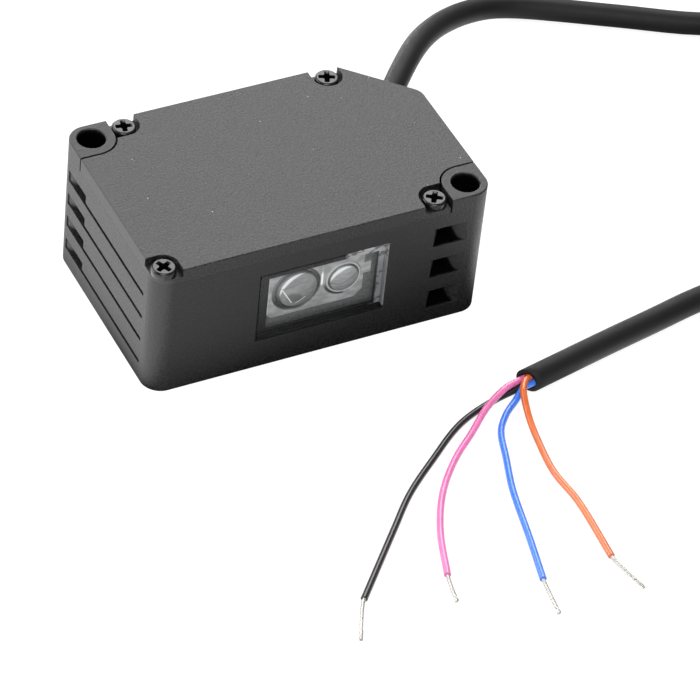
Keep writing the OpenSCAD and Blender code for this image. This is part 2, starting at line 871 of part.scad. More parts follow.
module coil_ties() {
  color([0.05, 0.05, 0.05])
    for (a = tie_places)
      translate(coil_centre) rotate([0, 0, a])
        rotate_extrude(angle = tie_angle, $fn = 96)
          difference() {
            translate([coil_inner_r - tie_t, 0]) square([coil_w + 2 * tie_t, coil_h + 2 * tie_t]);
            translate([coil_inner_r, tie_t]) square([coil_w, coil_h]);
          }
}

module core_black() {
  color([0.1, 0.1, 0.1]) tube(black_path, core_r, 8);
}

module core_pink() {
  color([0.93, 0.4, 0.65]) tube(pink_path, core_r, 8);
}

module core_blue() {
  color([0.1, 0.4, 0.95]) tube(blue_path, core_r, 8);
}

module core_orange() {
  color([0.85, 0.4, 0.15]) tube(orange_path, core_r, 8);
}

module strand_black() {
  color([0.7, 0.7, 0.68]) tube(strand_path(black_path, black_strand), strand_r, 8);
}

module strand_pink() {
  color([0.7, 0.7, 0.68]) tube(strand_path(pink_path, pink_strand), strand_r, 8);
}

module strand_blue() {
  color([0.7, 0.7, 0.68]) tube(strand_path(blue_path, blue_strand), strand_r, 8);
}

module strand_orange() {
  color([0.7, 0.7, 0.68]) tube(strand_path(orange_path, orange_strand), strand_r, 8);
}

housing();
cover();
cover_gasket();
cover_screws();
front_window();
window_seal();
lens_moulding();
optical_block();
receiver_diode();
emitter_diode();
optics_board();
board_pins();
main_board();
signal_ic();
voltage_regulator();
output_transistor();
smoothing_capacitor();
chip_parts();
indicator_diode();
indicator_window();
cable_bush();
lead_black();
lead_pink();
lead_blue();
lead_orange();
cable_feed();
cable_coil();
coil_ties();
cable_tail();
core_black();
core_pink();
core_blue();
core_orange();
strand_black();
strand_pink();
strand_blue();
strand_orange();
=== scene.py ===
"""Looks of a box-shaped photoelectric switch and its four-core cable.

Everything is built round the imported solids. Shaders work in metres, routes and outlines in
millimetres.
"""

import logging
import math
from dataclasses import dataclass
from enum import Enum
from typing import Any, Iterable, Sequence

import bmesh
import bpy
from mathutils import Matrix, Vector


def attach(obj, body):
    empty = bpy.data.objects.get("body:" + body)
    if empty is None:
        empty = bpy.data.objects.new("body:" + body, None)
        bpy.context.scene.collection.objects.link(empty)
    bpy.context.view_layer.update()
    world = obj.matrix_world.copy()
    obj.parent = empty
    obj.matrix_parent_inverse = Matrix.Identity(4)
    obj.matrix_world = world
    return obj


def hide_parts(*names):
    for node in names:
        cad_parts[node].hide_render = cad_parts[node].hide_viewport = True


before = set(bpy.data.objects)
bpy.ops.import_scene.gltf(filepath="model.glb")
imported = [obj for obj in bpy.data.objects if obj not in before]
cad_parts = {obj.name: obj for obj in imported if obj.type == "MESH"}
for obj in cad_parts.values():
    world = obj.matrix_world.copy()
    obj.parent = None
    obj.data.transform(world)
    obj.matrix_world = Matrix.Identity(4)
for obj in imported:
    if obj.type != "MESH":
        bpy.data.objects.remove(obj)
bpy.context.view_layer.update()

LOG = logging.getLogger("switch")
MM = 0.001
BODY = "root"
HALF_LENGTH = 28.5
HALF_WIDTH = 18.0
LENS_HEIGHT = 12.25
SENDING_X = 4.6

Pair = tuple[float, float]
Point = tuple[float, float, float]
Colour = tuple[float, float, float, float]


def opaque(parts: Iterable[float]) -> Colour:
    """A colour of three parts with an alpha of 1."""
    return (*parts, 1.0)


def linear(red: float, green: float, blue: float) -> Colour:
    """Turns a screen colour of 0 to 255 into the linear one that shaders use."""
    parts = (v / 255 for v in (red, green, blue))
    return opaque(v / 12.92 if v <= 0.04045 else ((v + 0.055) / 1.055) ** 2.4 for v in parts)


def grey(shade: float) -> Colour:
    """A linear grey with an alpha of 1."""
    return shade, shade, shade, 1.0


def mm(first: float, second: float) -> Pair:
    """Turns two lengths in millimetres into metres."""
    return first * MM, second * MM


def metres(points: Sequence[Sequence[float]]) -> list[Vector]:
    """Turns points in millimetres into vectors in metres."""
    return [Vector(p) * MM for p in points]


# Shader graphs


class Value:
    """A shader output whose arithmetic adds Math nodes."""

    def __init__(self, graph: "Graph", socket: bpy.types.NodeSocket) -> None:
        """Keeps the graph and the output socket."""
        self.graph = graph
        self.socket = socket

    def __add__(self, other: "Value | float") -> "Value":
        """Sum."""
        return self.graph.math("ADD", self, other)

    __radd__ = __add__

    def __sub__(self, other: "Value | float") -> "Value":
        """Difference."""
        return self.graph.math("SUBTRACT", self, other)

    def __rsub__(self, other: float) -> "Value":
        """Difference from a number."""
        return self.graph.math("SUBTRACT", other, self)

    def __mul__(self, other: "Value | float") -> "Value":
        """Product."""
        return self.graph.math("MULTIPLY", self, other)

    __rmul__ = __mul__

    def __abs__(self) -> "Value":
        """Distance from zero."""
        return self.graph.math("ABSOLUTE", self)

    def __gt__(self, other: "Value | float") -> "Value":
        """1 where this is the greater one."""
        return self.graph.math("GREATER_THAN", self, other)

    def beside(self, other: "Value") -> "Value":
        """Length of the vector that has these two parts."""
        return self.graph.math("SQRT", self * self + other * other)

    def repeated(self, length: float) -> "Value":
        """Starts again from 0 after each length."""
        return self.graph.math("FLOORED_MODULO", self, length)

    def lowest(self, other: "Value | float") -> "Value":
        """The smaller of two values."""
        return self.graph.math("MINIMUM", self, other)

    def highest(self, other: "Value | float") -> "Value":
        """The greater of two values."""
        return self.graph.math("MAXIMUM", self, other)

    def step(self, start: float, end: float) -> "Value":
        """Rises smoothly from 0 at start to 1 at end.

        Args:
            start: Where it is still 0.
            end: Where it has reached 1.

        Returns:
            The smooth step.
        """
        inputs = {"Value": self, "From Min": start, "From Max": end, "To Min": 0.0, "To Max": 1.0}
        settings = {"interpolation_type": "SMOOTHSTEP"}
        return self.graph.node("ShaderNodeMapRange", settings, inputs)["Result"]

    def fall(self, start: float, end: float) -> "Value":
        """Falls smoothly from 1 at start to 0 at end."""
        return 1 - self.step(start, end)

    def past(self, edge: float, soft: Pair) -> "Value":
        """Rises round an edge in metres, between two distances from it in millimetres."""
        return self.step(edge + soft[0] * MM, edge + soft[1] * MM)


class Outputs:
    """The outputs of a node, by name or number."""

    def __init__(self, graph: "Graph", made: bpy.types.Node) -> None:
        """Keeps the graph and the node."""
        self.graph = graph
        self.made = made

    def __getitem__(self, key: str | int) -> Value:
        """One output as a value."""
        return Value(self.graph, self.made.outputs[key])


class Graph:
    """The node tree of a material or of the surroundings."""

    def __init__(self, owner: bpy.types.Material | bpy.types.World) -> None:
        """Empties the tree.

        Args:
            owner: What the tree belongs to.
        """
        owner.use_nodes = True
        self.owner = owner
        self.tree = owner.node_tree
        self.tree.nodes.clear()

    def node(self, kind: str, settings: dict[str, Any] | None = None,
             inputs: dict[str | int, Any] | None = None) -> Outputs:
        """Adds any node.

        Args:
            kind: Blender's type name of the node.
            settings: Its own settings, set first.
            inputs: Values or links of its sockets.

        Returns:
            The node's outputs.
        """
        made = self.tree.nodes.new(kind)
        for key, value in (settings or {}).items():
            setattr(made, key, value)
        for key, value in (inputs or {}).items():
            if isinstance(value, Value):
                self.tree.links.new(value.socket, made.inputs[key])
            else:
                made.inputs[key].default_value = value
        return Outputs(self, made)

    def math(self, operation: str, *values: Value | float) -> Value:
        """Adds one Math node."""
        inputs = dict(enumerate(values))
        return self.node("ShaderNodeMath", {"operation": operation}, inputs)["Value"]

    def place(self) -> Value:
        """The point on the object, in metres."""
        return self.node("ShaderNodeTexCoord")["Object"]

    def axes(self) -> tuple[Value, Value, Value]:
        """The point's X, Y and Z, in metres."""
        split = self.node("ShaderNodeSeparateXYZ", None, {"Vector": self.place()})
        return split["X"], split["Y"], split["Z"]

    def noise(self, size: float, detail: float = 2.0, stretch: Point = (1, 1, 1)) -> Value:
        """Cloudy noise.

        Args:
            size: Size of one cloud in metres.
            detail: Octaves of finer noise.
            stretch: How much the pattern is squeezed along each axis.

        Returns:
            The noise, from 0 to 1.
        """
        where = self.node("ShaderNodeMapping", None, {"Vector": self.place(), "Scale": stretch})
        inputs = {"Vector": where["Vector"], "Scale": 1 / size, "Detail": detail}
        return self.node("ShaderNodeTexNoise", None, inputs)["Fac"]

    def from_level(self, middle: Pair) -> Value:
        """Distance from a level line along Y through X and Z in metres."""
        x, _, z = self.axes()
        return (x - middle[0]).beside(z - middle[1])

    def from_upright(self, x: float, y: float) -> Value:
        """Distance from an upright line through X and Y in metres."""
        across, along, _ = self.axes()
        return (across - x).beside(along - y)

    def stroke(self, start: Pair, end: Pair, width: float, soft: Pair = (0.3, 0.7)) -> Value:
        """1 along a thin straight stroke that is seen along Y.

        Args:
            start: X and Z of one end, in metres.
            end: X and Z of the other end.
            width: Its width in metres.
            soft: Shares of the width between which it fades.

        Returns:
            The stroke's mask.
        """
        x, _, z = self.axes()
        run, rise = end[0] - start[0], end[1] - start[1]
        along = ((x - start[0]) * run + (z - start[1]) * rise) * (1 / (run * run + rise * rise))
        along = along.lowest(1).highest(0)
        off = (x - start[0] - along * run).beside(z - start[1] - along * rise)
        return off.fall(width * soft[0], width * soft[1])

    def mix(self, first: Colour | Value, second: Colour | Value, amount: Value | float) -> Value:
        """Blends two colours by the second one's share."""
        inputs = {0: amount, 6: first, 7: second}
        return self.node("ShaderNodeMix", {"data_type": "RGBA"}, inputs)[2]

    def bump(self, height: Value, depth: float) -> Value:
        """A normal from a height of 0 to 1 and its depth in metres."""
        inputs = {"Height": height, "Strength": 1.0, "Distance": depth}
        return self.node("ShaderNodeBump", None, inputs)["Normal"]

    def glow(self, shade: float, share: Value) -> dict[str, Any]:
        """Inputs that make a surface glow in grey by a share, for a painted highlight."""
        glow = self.mix(grey(0.0), grey(shade), share)
        return {"Emission Color": glow, "Emission Strength": 1.0}

    def diffuse(self, shade: float) -> Value:
        """A matt grey shader."""
        return self.node("ShaderNodeBsdfDiffuse", None, {"Color": grey(shade)})["BSDF"]

    def emission(self, strength: Value | float) -> Value:
        """A white glow."""
        inputs = {"Color": grey(1.0), "Strength": strength}
        return self.node("ShaderNodeEmission", None, inputs)["Emission"]

    def blend(self, first: Value, second: Value, share: Value) -> Value:
        """Blends two shaders by the second one's share."""
        return self.node("ShaderNodeMixShader", None, {0: share, 1: first, 2: second})["Shader"]

    def paint_black_shade(self, shader: Value, share: Value) -> Value:
        """Blends a lightless black into a shader, as painted shade."""
        return self.blend(shader, self.diffuse(0.002), share)

    def output(self, kind: str, shader: Value) -> None:
        """Joins a shader to an output node of this type."""
        self.node(kind, None, {"Surface": shader})


# Finishes


MADE: dict[str, bpy.types.Material] = {}


@dataclass(frozen=True)
class Finish:
    """A surface finish with a name of its own.

    The roughness is that of the smoothest places, and the roughest ones have the swing more.
    """

    name: str
    colour: Colour
    roughness: float = 0.3
    swing: float = 0.1
    coat: float = 0.0
    coat_rough: float = 0.03
    specular: float = 0.5
    metal: float = 0.0

    def build(self) -> bpy.types.Material:
        """Makes the material once and gives it again after that.

        Returns:
            The material.
        """
        if self.name not in MADE:
            material = MADE[self.name] = bpy.data.materials.new(f"{self.name}_finish")
            graph = Graph(material)
            graph.output("ShaderNodeOutputMaterial", self.shader(graph))
        return MADE[self.name]

    def shader(self, graph: Graph) -> Value:
        """Adds the nodes of the finish, each kind in its own way."""
        raise NotImplementedError

    def surface(self, graph: Graph, colour: Colour | Value, cloud: Value,
                more: dict[str, Any]) -> Value:
        """Adds a Principled shader.

        Args:
            graph: The material's graph.
            colour: The surface's colour.
            cloud: A pattern; the surface is rougher where it is higher.
            more: Values or links of other sockets.

        Returns:
            The shader.
        """
        return graph.node("ShaderNodeBsdfPrincipled", None, {
            "Base Color": colour, "Roughness": cloud * self.swing + self.roughness,
            "Metallic": self.metal, "Specular IOR Level": self.specular,
            "Coat Weight": self.coat, "Coat Roughness": self.coat_rough, **more})["BSDF"]

    def scaled(self, share: float) -> Colour:
        """The colour, brighter or darker by a factor."""
        return opaque(v * share for v in self.colour[:3])


@dataclass(frozen=True)
class MouldedPlastic(Finish):
    """Spark-eroded moulded plastic with fine grain, and dust specks where they show."""

    swing: float = 0.4
    grain: float = 0.36 * MM
    soft: Pair = (0.36, 0.64)
    depth: float = 0.075 * MM
    cloud: float = 7 * MM
    cloud_share: float = 0.1
    contrast: float = 0.9
    specks: float = 0.0
    speck_cell: float = 1.6 * MM
    speck_edge: Pair = (0.03, 0.07)
    speck_shade: float = 0.6

    def shader(self, graph: Graph) -> Value:
        """Adds grain in the normal, the gloss and the colour, faint clouds, and specks.

        Args:
            graph: The material's graph.

        Returns:
            The shader.
        """
        fine = graph.noise(self.grain)
        shade = graph.noise(self.cloud) * self.cloud_share
        shade = shade + fine.step(*self.soft) * (1 - self.cloud_share)
        colour = graph.mix(self.scaled(1 - self.contrast), self.scaled(1 + self.contrast), shade)
        if self.specks:
            where = {"Vector": graph.place(), "Scale": 1 / self.speck_cell}
            cells = graph.node("ShaderNodeTexVoronoi", None, where)
            chance = graph.node("ShaderNodeSeparateColor", None, {"Color": cells["Color"]})["Red"]
            spot = cells["Distance"].fall(*self.speck_edge) * (chance > 1 - self.specks)
            colour = graph.mix(colour, grey(self.speck_shade), spot)
        return self.surface(graph, colour, fine, {"Normal": graph.bump(fine, self.depth)})


@dataclass(frozen=True)
class HousingPlastic(MouldedPlastic):
    """Plastic of the housing, with painted black shade far inside its slots, pockets and bores."""

    half: Pair = mm(HALF_LENGTH, HALF_WIDTH)
    cut_corner: float = 36.1 * MM
    pocket_shade_depths: Pair = mm(1.1, 3.2)
    slots: Pair = mm(18.0, 25.3)
    slot_shade_depths: Pair = mm(0.0, 0.55)
    slot_low: float = 2.9 * MM
    slot_pitch: float = 6.4 * MM
    # painted light on the upper part of each slot, which holds off the painted shade
    slot_painted_light: float = 0.5
    underside: float = 0.25 * MM
    rim: float = 21.8 * MM
    bore: Pair = mm(25.0, -14.75)
    bore_radius: float = 2.35 * MM
    bore_shade_top: Pair = mm(23.6, 24.4)

    def shader(self, graph: Graph) -> Value:
        """Blends painted black shade in by the depth from the outside, starting further in where
        painted light falls on the upper part of a slot.

        Args:
            graph: The material's graph.

        Returns:
            The shader.
        """
        x, y, z = graph.axes()
        inwards = (self.half[0] - abs(x)).lowest(self.half[1] - abs(y))
        inwards = inwards.lowest((self.cut_corner - (x + y)) * math.sqrt(0.5))
        # painted shade: black that grows with the depth from the outside
        painted_shade = inwards.step(*self.pocket_shade_depths)
        # painted light: in the upper part of each slot the painted shade starts further in
        painted_light = (z - self.slot_low).repeated(self.slot_pitch) * self.slot_painted_light
        for side in (1, -1):
            along, across = x * side, y * side
            beside = (along > self.slots[0]) * (1 - (along > self.slots[1])) * (0 - across > 0)
            slot = (across + self.half[1] - painted_light).step(*self.slot_shade_depths)
            painted_shade = painted_shade.highest(slot * beside)
        painted_shade = painted_shade * (1 - (z > self.rim)) * (z > self.underside)
        # painted shade down each bore, fading out towards its top
        for side in (1, -1):
            off = graph.from_upright(self.bore[0] * side, self.bore[1] * side)
            painted_shade = painted_shade.highest((1 - (off > self.bore_radius)) * z.fall(*self.bore_shade_top))
        return graph.paint_black_shade(super().shader(graph), painted_shade)


@dataclass(frozen=True)
class CloudedFinish(Finish):
    """Clouds between two tints of the colour.

    The unevenness follows a finer grain, or the clouds where there is none.
    """

    low: float = 1.0
    high: float = 1.0
    lift: float = 0.0
    cloud: float = 1 * MM
    octaves: int = 3
    soft: Pair = (0.3, 0.7)
    grain: float = 0.0
    depth: float = 0.01 * MM

    def pattern(self, graph: Graph) -> Value:
        """The clouds, from 0 to 1."""
        return graph.noise(self.cloud, self.octaves)

    def tints(self) -> tuple[Colour, Colour]:
        """The colours at the bottom and at the top of the clouds."""
        return self.scaled(self.low), opaque(v * self.high + self.lift for v in self.colour[:3])

    def shader(self, graph: Graph) -> Value:
        """Adds clouds in the colour and the gloss, and an unevenness where it has a depth.

        Args:
            graph: The material's graph.

        Returns:
            The shader.
        """
        cloud = self.pattern(graph)
        colour = graph.mix(*self.tints(), cloud.step(*self.soft))
        fine = graph.noise(self.grain) if self.grain else cloud
        more = {"Normal": graph.bump(fine, self.depth)} if self.depth else {}
        return self.surface(graph, colour, cloud, more)


@dataclass(frozen=True)
class SoftRubber(CloudedFinish):
    """Dull rubber with a slightly dusty skin."""

    swing: float = 0.15
    lift: float = 0.03
    cloud: float = 1.5 * MM
    octaves: int = 4
    soft: Pair = (0.45, 0.8)
    grain: float = 0.2 * MM


@dataclass(frozen=True)
class CableSkin(CloudedFinish):
    """Smooth extruded insulation with a fine unevenness and a soft gloss."""

    roughness: float = 0.24
    swing: float = 0.12
    coat_rough: float = 0.24
    specular: float = 0.3
    low: float = 0.85
    cloud: float = 2.5 * MM
    grain: float = 0.5 * MM
    depth: float = 0.012 * MM


@dataclass(frozen=True)
class PlainMetal(CloudedFinish):
    """Metal with a fine unevenness."""

    roughness: float = 0.2
    swing: float = 0.2
    metal: float = 1.0
    low: float = 0.7
    cloud: float = 0.4 * MM
    soft: Pair = (0.2, 0.7)


@dataclass(frozen=True)
class LitPlastic(CloudedFinish):
    """Tinted see-through plastic of a small indicator or diode."""

    roughness: float = 0.2
    coat: float = 0.7
    coat_rough: float = 0.08
    low: float = 0.55
    cloud: float = 0.8 * MM
    octaves: int = 2
    soft: Pair = (0.35, 0.65)
    depth: float = 0.0


@dataclass(frozen=True)
class BoardLaminate(CloudedFinish):
    """Solder-masked circuit board with the weave just showing."""

    swing: float = 0.05
    high: float = 1.5
    soft: Pair = (-0.5, 1.0)
    threads: float = 9000.0
    depth: float = 0.006 * MM

    def pattern(self, graph: Graph) -> Value:
        """The crossed weave, from -1 to 1."""
        x, y, _ = graph.axes()
        return graph.math("SINE", x * self.threads) * graph.math("SINE", y * self.threads)


@dataclass(frozen=True)
class BlackenedSteel(CloudedFinish):
    """Black coated steel, shiny where the coat is whole, with painted black shade down in each
    recess.
    """

    roughness: float = 0.2
    swing: float = 0.2
    coat: float = 0.25
    coat_rough: float = 0.15
    metal: float = 0.25
    cloud: float = 0.35 * MM
    octaves: int = 4
    soft: Pair = (0.6, 0.85)
    depth: float = 0.008 * MM
    worn: Colour = (0.12, 0.12, 0.13, 1.0)
    places: tuple[Pair, ...] = (mm(-19, 16), mm(19, -16), mm(16, 16), mm(-26.5, -16))
    # radius and heights of the painted shade in each cross recess
    recess: float = 1.42 * MM
    fade: Pair = mm(23.95, 24.2)

    def tints(self) -> tuple[Colour, Colour]:
        """The colours of the coat and of its worn patches."""
        return self.colour, self.worn

    def shader(self, graph: Graph) -> Value:
        """Adds patches of wear, and painted black shade in the cross of each screw.

        Args:
            graph: The material's graph.

        Returns:
            The shader.
        """
        _, _, z = graph.axes()
        near, *others = [graph.from_upright(*place) for place in self.places]
        for other in others:
            near = near.lowest(other)
        # painted shade: black in each cross recess, fading out towards the top of the head
        painted_shade = (1 - (near > self.recess)) * z.fall(*self.fade)
        return graph.paint_black_shade(super().shader(graph), painted_shade)


@dataclass(frozen=True)
class ClearPlate(Finish):
    """Clear polished plate: it lets light through and mirrors a little."""

    swing: float = 0.06
    metal: float = 1.0
    mirror: float = 0.95
    cloud: float = 1.2 * MM
    least: float = 0.012
    hazy: float = 0.02
    grazing: float = 0.9

    def shader(self, graph: Graph) -> Value:
        """Adds a clear sheet and a mirror that grows towards grazing angles.

        Args:
            graph: The material's graph.

        Returns:
            The shader.
        """
        haze = graph.noise(self.cloud, 3)
        mirror = self.surface(graph, grey(self.mirror), haze, {})
        clear = graph.node("ShaderNodeBsdfTransparent", None, {"Color": self.colour})["BSDF"]
        slant = graph.node("ShaderNodeLayerWeight", None, {"Blend": 0.5})["Facing"]
        square = slant * slant
        share = square * square * slant * self.grazing + haze * self.hazy + self.least
        return graph.blend(clear, mirror, share)


@dataclass(frozen=True)
class FlangePlastic(Finish):
    """Milky flange that carries the lenses."""

    coat: float = 0.5
    coat_rough: float = 0.1
    pale: Colour = (0.66, 0.65, 0.65, 1.0)
    cloud: float = 2.2 * MM
    web_highlight: float = 0.97 * MM
    web_side: Pair = mm(0.1, 0.22)
    web_foot: Pair = mm(11.5, 11.9)
    web_head: Pair = mm(13.6, 14.6)
    lens: Pair = mm(SENDING_X, LENS_HEIGHT)
    moat_inner: Pair = mm(3.0, 3.1)
    moat_outer: Pair = mm(3.35, 3.55)
    moat_top: Pair = mm(10.4, 12.2)
    moat_right: Pair = mm(4.7, 5.1)
    edge: Pair = mm(-8.3, -7.9)
    edge_highlight_colour: Colour = (0.95, 0.94, 0.94, 1.0)

    def shader(self, graph: Graph) -> Value:
        """Adds flow clouds, painted shade in the moat and glowing painted highlights on ridge and
        edge.

        Args:
            graph: The material's graph.

        Returns:
            The shader.
        """
        x, _, z = graph.axes()
        flow = graph.noise(self.cloud, 3, (1, 1, 2))
        colour = graph.mix(self.colour, self.pale, flow.step(0.35, 0.75))
        # painted highlight on the ridge between the lenses, fainter towards its top
        web_highlight = abs(x - self.web_highlight).fall(*self.web_side) * z.step(*self.web_foot)
        web_highlight = web_highlight * (1 - z.step(*self.web_head) * 0.85)
        # painted dark shade in an arc of the moat round the small lens, below it and to its left
        near = graph.from_level(self.lens)
        moat = near.step(*self.moat_inner) * near.fall(*self.moat_outer)
        moat = moat * z.fall(*self.moat_top) * x.fall(*self.moat_right)
        # painted highlight along the left edge
        edge = x.fall(*self.edge)
        for coat, share in ((grey(0.9), web_highlight), (grey(0.03), moat), (self.edge_highlight_colour, edge * 0.8)):
            colour = graph.mix(colour, coat, share)
        # the painted highlights also glow
        return self.surface(graph, colour, flow, graph.glow(0.4, web_highlight.highest(edge * 0.5)))


@dataclass(frozen=True, kw_only=True)
class LensPlastic(Finish):
    """Polished lens over a dark inside, with the light that it bends and mirrors painted in.

    A stroke holds X and Z of both ends and its width in millimetres, and its shade.
    """

    middle: Pair
    radius: float
    strokes: tuple[tuple[float, ...], ...]
    roughness: float = 0.2
    swing: float = 0.08
    coat: float = 0.8
    coat_rough: float = 0.05
    crescent_angle: float = 130.0
    crescent_shift: float = 1.7 * MM
    crescent_width: float = 0.62 * MM
    crescent_shade: float = 0.85
    crescent_glow: float = 0.2
    rim: float = 0.0
    cloud: float = 1.6 * MM
    ring_shade_colour: Colour = (0.035, 0.035, 0.037, 1.0)
    lit_way: Pair = (-0.6, 0.8)

    def shader(self, graph: Graph) -> Value:
        """Adds a grey body, painted ring shade, a painted glowing highlight crescent and painted
        strokes.

        Args:
            graph: The material's graph.

        Returns:
            The shader.
        """
        flow = graph.noise(self.cloud, 3, (1, 1, 3))
        colour = graph.mix(self.colour, self.scaled(1.35), flow.step(0.3, 0.7))
        near = graph.from_level(self.middle)
        x, _, z = graph.axes()
        # painted shade in the outer ring, painted lighter on its upper left side
        side = (x - self.middle[0]) * self.lit_way[0] + (z - self.middle[1]) * self.lit_way[1]
        side = side.step(0.1 * self.radius, self.radius)
        ring = graph.mix(self.ring_shade_colour, grey(0.3), side * 0.8)
        colour = graph.mix(colour, ring, near.past(self.radius, (-0.2, 0.1)))
        # painted highlight round the rim
        if self.rim:
            colour = graph.mix(colour, grey(0.75), near.past(self.rim, (-0.05, 0.05)))
        # painted highlight crescent, which also glows
        angle, shift = math.radians(self.crescent_angle), self.crescent_shift
        inner = (self.middle[0] - shift * math.cos(angle), self.middle[1] - shift * math.sin(angle))
        inside = graph.from_level(inner)
        painted_light = inside.past(self.radius + shift - self.crescent_width, (-0.08, 0.2))
        painted_light = painted_light * (1 - near.past(self.radius, (-0.12, 0.02)))
        colour = graph.mix(colour, grey(self.crescent_shade), painted_light)
        # painted streaks: the light ones are painted reflections, the dark ones painted shade
        for x0, z0, x1, z1, width, shade in self.strokes:
            mark = graph.stroke(mm(x0, z0), mm(x1, z1), width * MM)
            colour = graph.mix(colour, grey(shade), mark)
        return self.surface(graph, colour, flow, graph.glow(self.crescent_glow, painted_light))


@dataclass(frozen=True)
class SealStrip(Finish):
    """Dark adhesive frame, pale where it has wetted the clear plate."""

    roughness: float = 0.6
    swing: float = 0.15
    specular: float = 0.1
    wave: float = 3.5 * MM
    sway: float = 1.2 * MM
    right: Pair = mm(9.3, 9.7)
    over: Pair = mm(5.6, 6.4)
    top: Pair = mm(16.9, 17.2)
    foot: Pair = mm(6.0, 6.3)
    climb: Pair = mm(14, 17.5)
    low: Colour = (0.28, 0.28, 0.29, 1.0)
    high: Colour = (0.55, 0.55, 0.56, 1.0)
    blob: float = 1.3 * MM
    edge: float = 10.8 * MM
    grain: float = 0.5 * MM
    depth: float = 0.003 * MM

    def shader(self, graph: Graph) -> Value:
        """Adds a pale patch along the right end and over the small lens, with dark blobs in it.

        Args:
            graph: The material's graph.

        Returns:
            The shader.
        """
        x, _, z = graph.axes()
        wave = graph.noise(self.wave) * self.sway
        over = (x + wave * 3).step(*self.over) * (z + wave).step(*self.top)
        wet = (x + wave).step(*self.right).highest(over) * z.step(*self.foot)
        pale = graph.mix(self.low, self.high, z.step(*self.climb))
        blobs = graph.noise(self.blob, 1).step(0.55, 0.64)
        pale = graph.mix(pale, grey(0.1), blobs * 0.8)
        pale = graph.mix(pale, grey(0.16), (x > self.edge) * 0.9)
        dust = graph.noise(self.grain, 3)
        colour = graph.mix(self.colour, pale, wet)
        return self.surface(graph, colour, dust, {"Normal": graph.bump(dust, self.depth)})


class Palette:
    """Every finish of the switch."""

    housing = HousingPlastic("housing_plastic", linear(22, 22, 22), specular=0.6)
    cover = MouldedPlastic("cover_plastic", linear(30, 30, 31), specular=0.62, specks=0.22)
    screw = BlackenedSteel("black_screw", linear(16, 16, 17))
    window = ClearPlate("clear_window", (0.93, 0.94, 0.94, 1), 0.02)
    flange = FlangePlastic("lens_flange", linear(168, 166, 166))
    # the lenses carry painted highlights, reflections and shade in their colour
    big_lens = LensPlastic(
        "receiving_lens", linear(144, 142, 142), middle=mm(-3.25, 12.38), radius=3.25 * MM,
        strokes=((-4.5, 11.5, -3.6, 11.2, 1.7, 0.16), (-5.95, 12.95, -4.47, 10.38, 0.2, 1.0),
                 (-3.71, 10.15, -2.24, 11.02, 0.2, 1.0), (-6.2, 13.35, -3.76, 13.95, 0.14, 0.2),
                 (-3.76, 13.95, -0.6, 14.2, 0.12, 0.25)))
    small_lens = LensPlastic(
        "sending_lens", linear(156, 155, 155), middle=mm(SENDING_X, LENS_HEIGHT),
        radius=2.42 * MM, crescent_angle=118.0, crescent_shift=1.5 * MM, rim=2.66 * MM,
        strokes=((2.45, 11.98, 3.7, 11.62, 0.14, 0.2), (3.7, 11.62, 5.33, 12.31, 0.14, 0.2),
                 (5.33, 12.31, 6.58, 12.72, 0.14, 0.2)))
    seal = SoftRubber("dark_seal", linear(38, 38, 38), 0.53)
    seal_strip = SealStrip("seal_strip", linear(26, 26, 26))
    block = MouldedPlastic(
        "block_plastic", linear(114, 114, 114), 0.35, grain=0.5 * MM, contrast=0.2)
    diode_clear = LitPlastic("clear_diode", (0.5, 0.2, 0.2, 1))
    diode_dark = LitPlastic("dark_diode", (0.04, 0.03, 0.06, 1))
    board = BoardLaminate("green_board", (0.02, 0.14, 0.06, 1))
    chip = MouldedPlastic("chip_case", linear(40, 40, 40), 0.35, grain=0.15 * MM, contrast=0.4)
    pin = PlainMetal("gilt_pin", (0.75, 0.55, 0.25, 1))
    can = PlainMetal("bright_can", (0.75, 0.75, 0.77, 1))
    ceramic = MouldedPlastic("chip_ceramic", linear(150, 120, 85), grain=0.2 * MM, contrast=0.2)
    indicator = LitPlastic("orange_indicator", (0.65, 0.18, 0.03, 1))
    jacket = CableSkin("jacket_plastic", linear(15, 15, 15), 0.54, specular=0.35)
    tie = SoftRubber("tie_plastic", linear(34, 34, 34), 0.43)
    core_black = CableSkin("black_core", linear(34, 32, 31), coat=0.8)
    core_pink = CableSkin("pink_core", linear(255, 130, 193), coat=1.0)
    core_blue = CableSkin("blue_core", linear(62, 132, 255), coat=1.0)
    core_orange = CableSkin("orange_core", linear(242, 118, 50), coat=1.0)
    tinned = PlainMetal("tinned_wire", (0.72, 0.7, 0.66, 1), 0.25, cloud=0.25 * MM)


# Meshes and curves


def linked(name: str, data: bpy.types.ID) -> bpy.types.Object:
    """Adds an object with this data to the scene, at the origin.

    Args:
        name: The object's name.
        data: Its mesh, curve, camera or lamp.

    Returns:
        The new object.
    """
    made = bpy.data.objects.new(name, data)
    bpy.context.scene.collection.objects.link(made)
    return made


def piece_from(bm: bmesh.types.BMesh, name: str) -> bpy.types.Object:
    """Turns a bmesh into an object of the scene.

    Args:
        bm: The mesh, which is used up.
        name: The object's name.

    Returns:
        The new object.
    """
    mesh = bpy.data.meshes.new(name)
    bm.to_mesh(mesh)
    bm.free()
    return linked(name, mesh)


def settle(piece: bpy.types.Object, finish: Finish, slot: str, *nodes: str) -> bpy.types.Object:
    """Gives a finished piece its material and its place on the body.

    Args:
        piece: The finished piece.
        finish: Its finish.
        slot: The record's material slot; it is not used.
        nodes: CAD nodes that it stands for.

    Returns:
        The same piece.
    """
    piece.data.materials.clear()
    piece.data.materials.append(finish.build())
    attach(piece, BODY)
    if nodes:
        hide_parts(*nodes)
    LOG.info("piece %s", piece.name)
    return piece


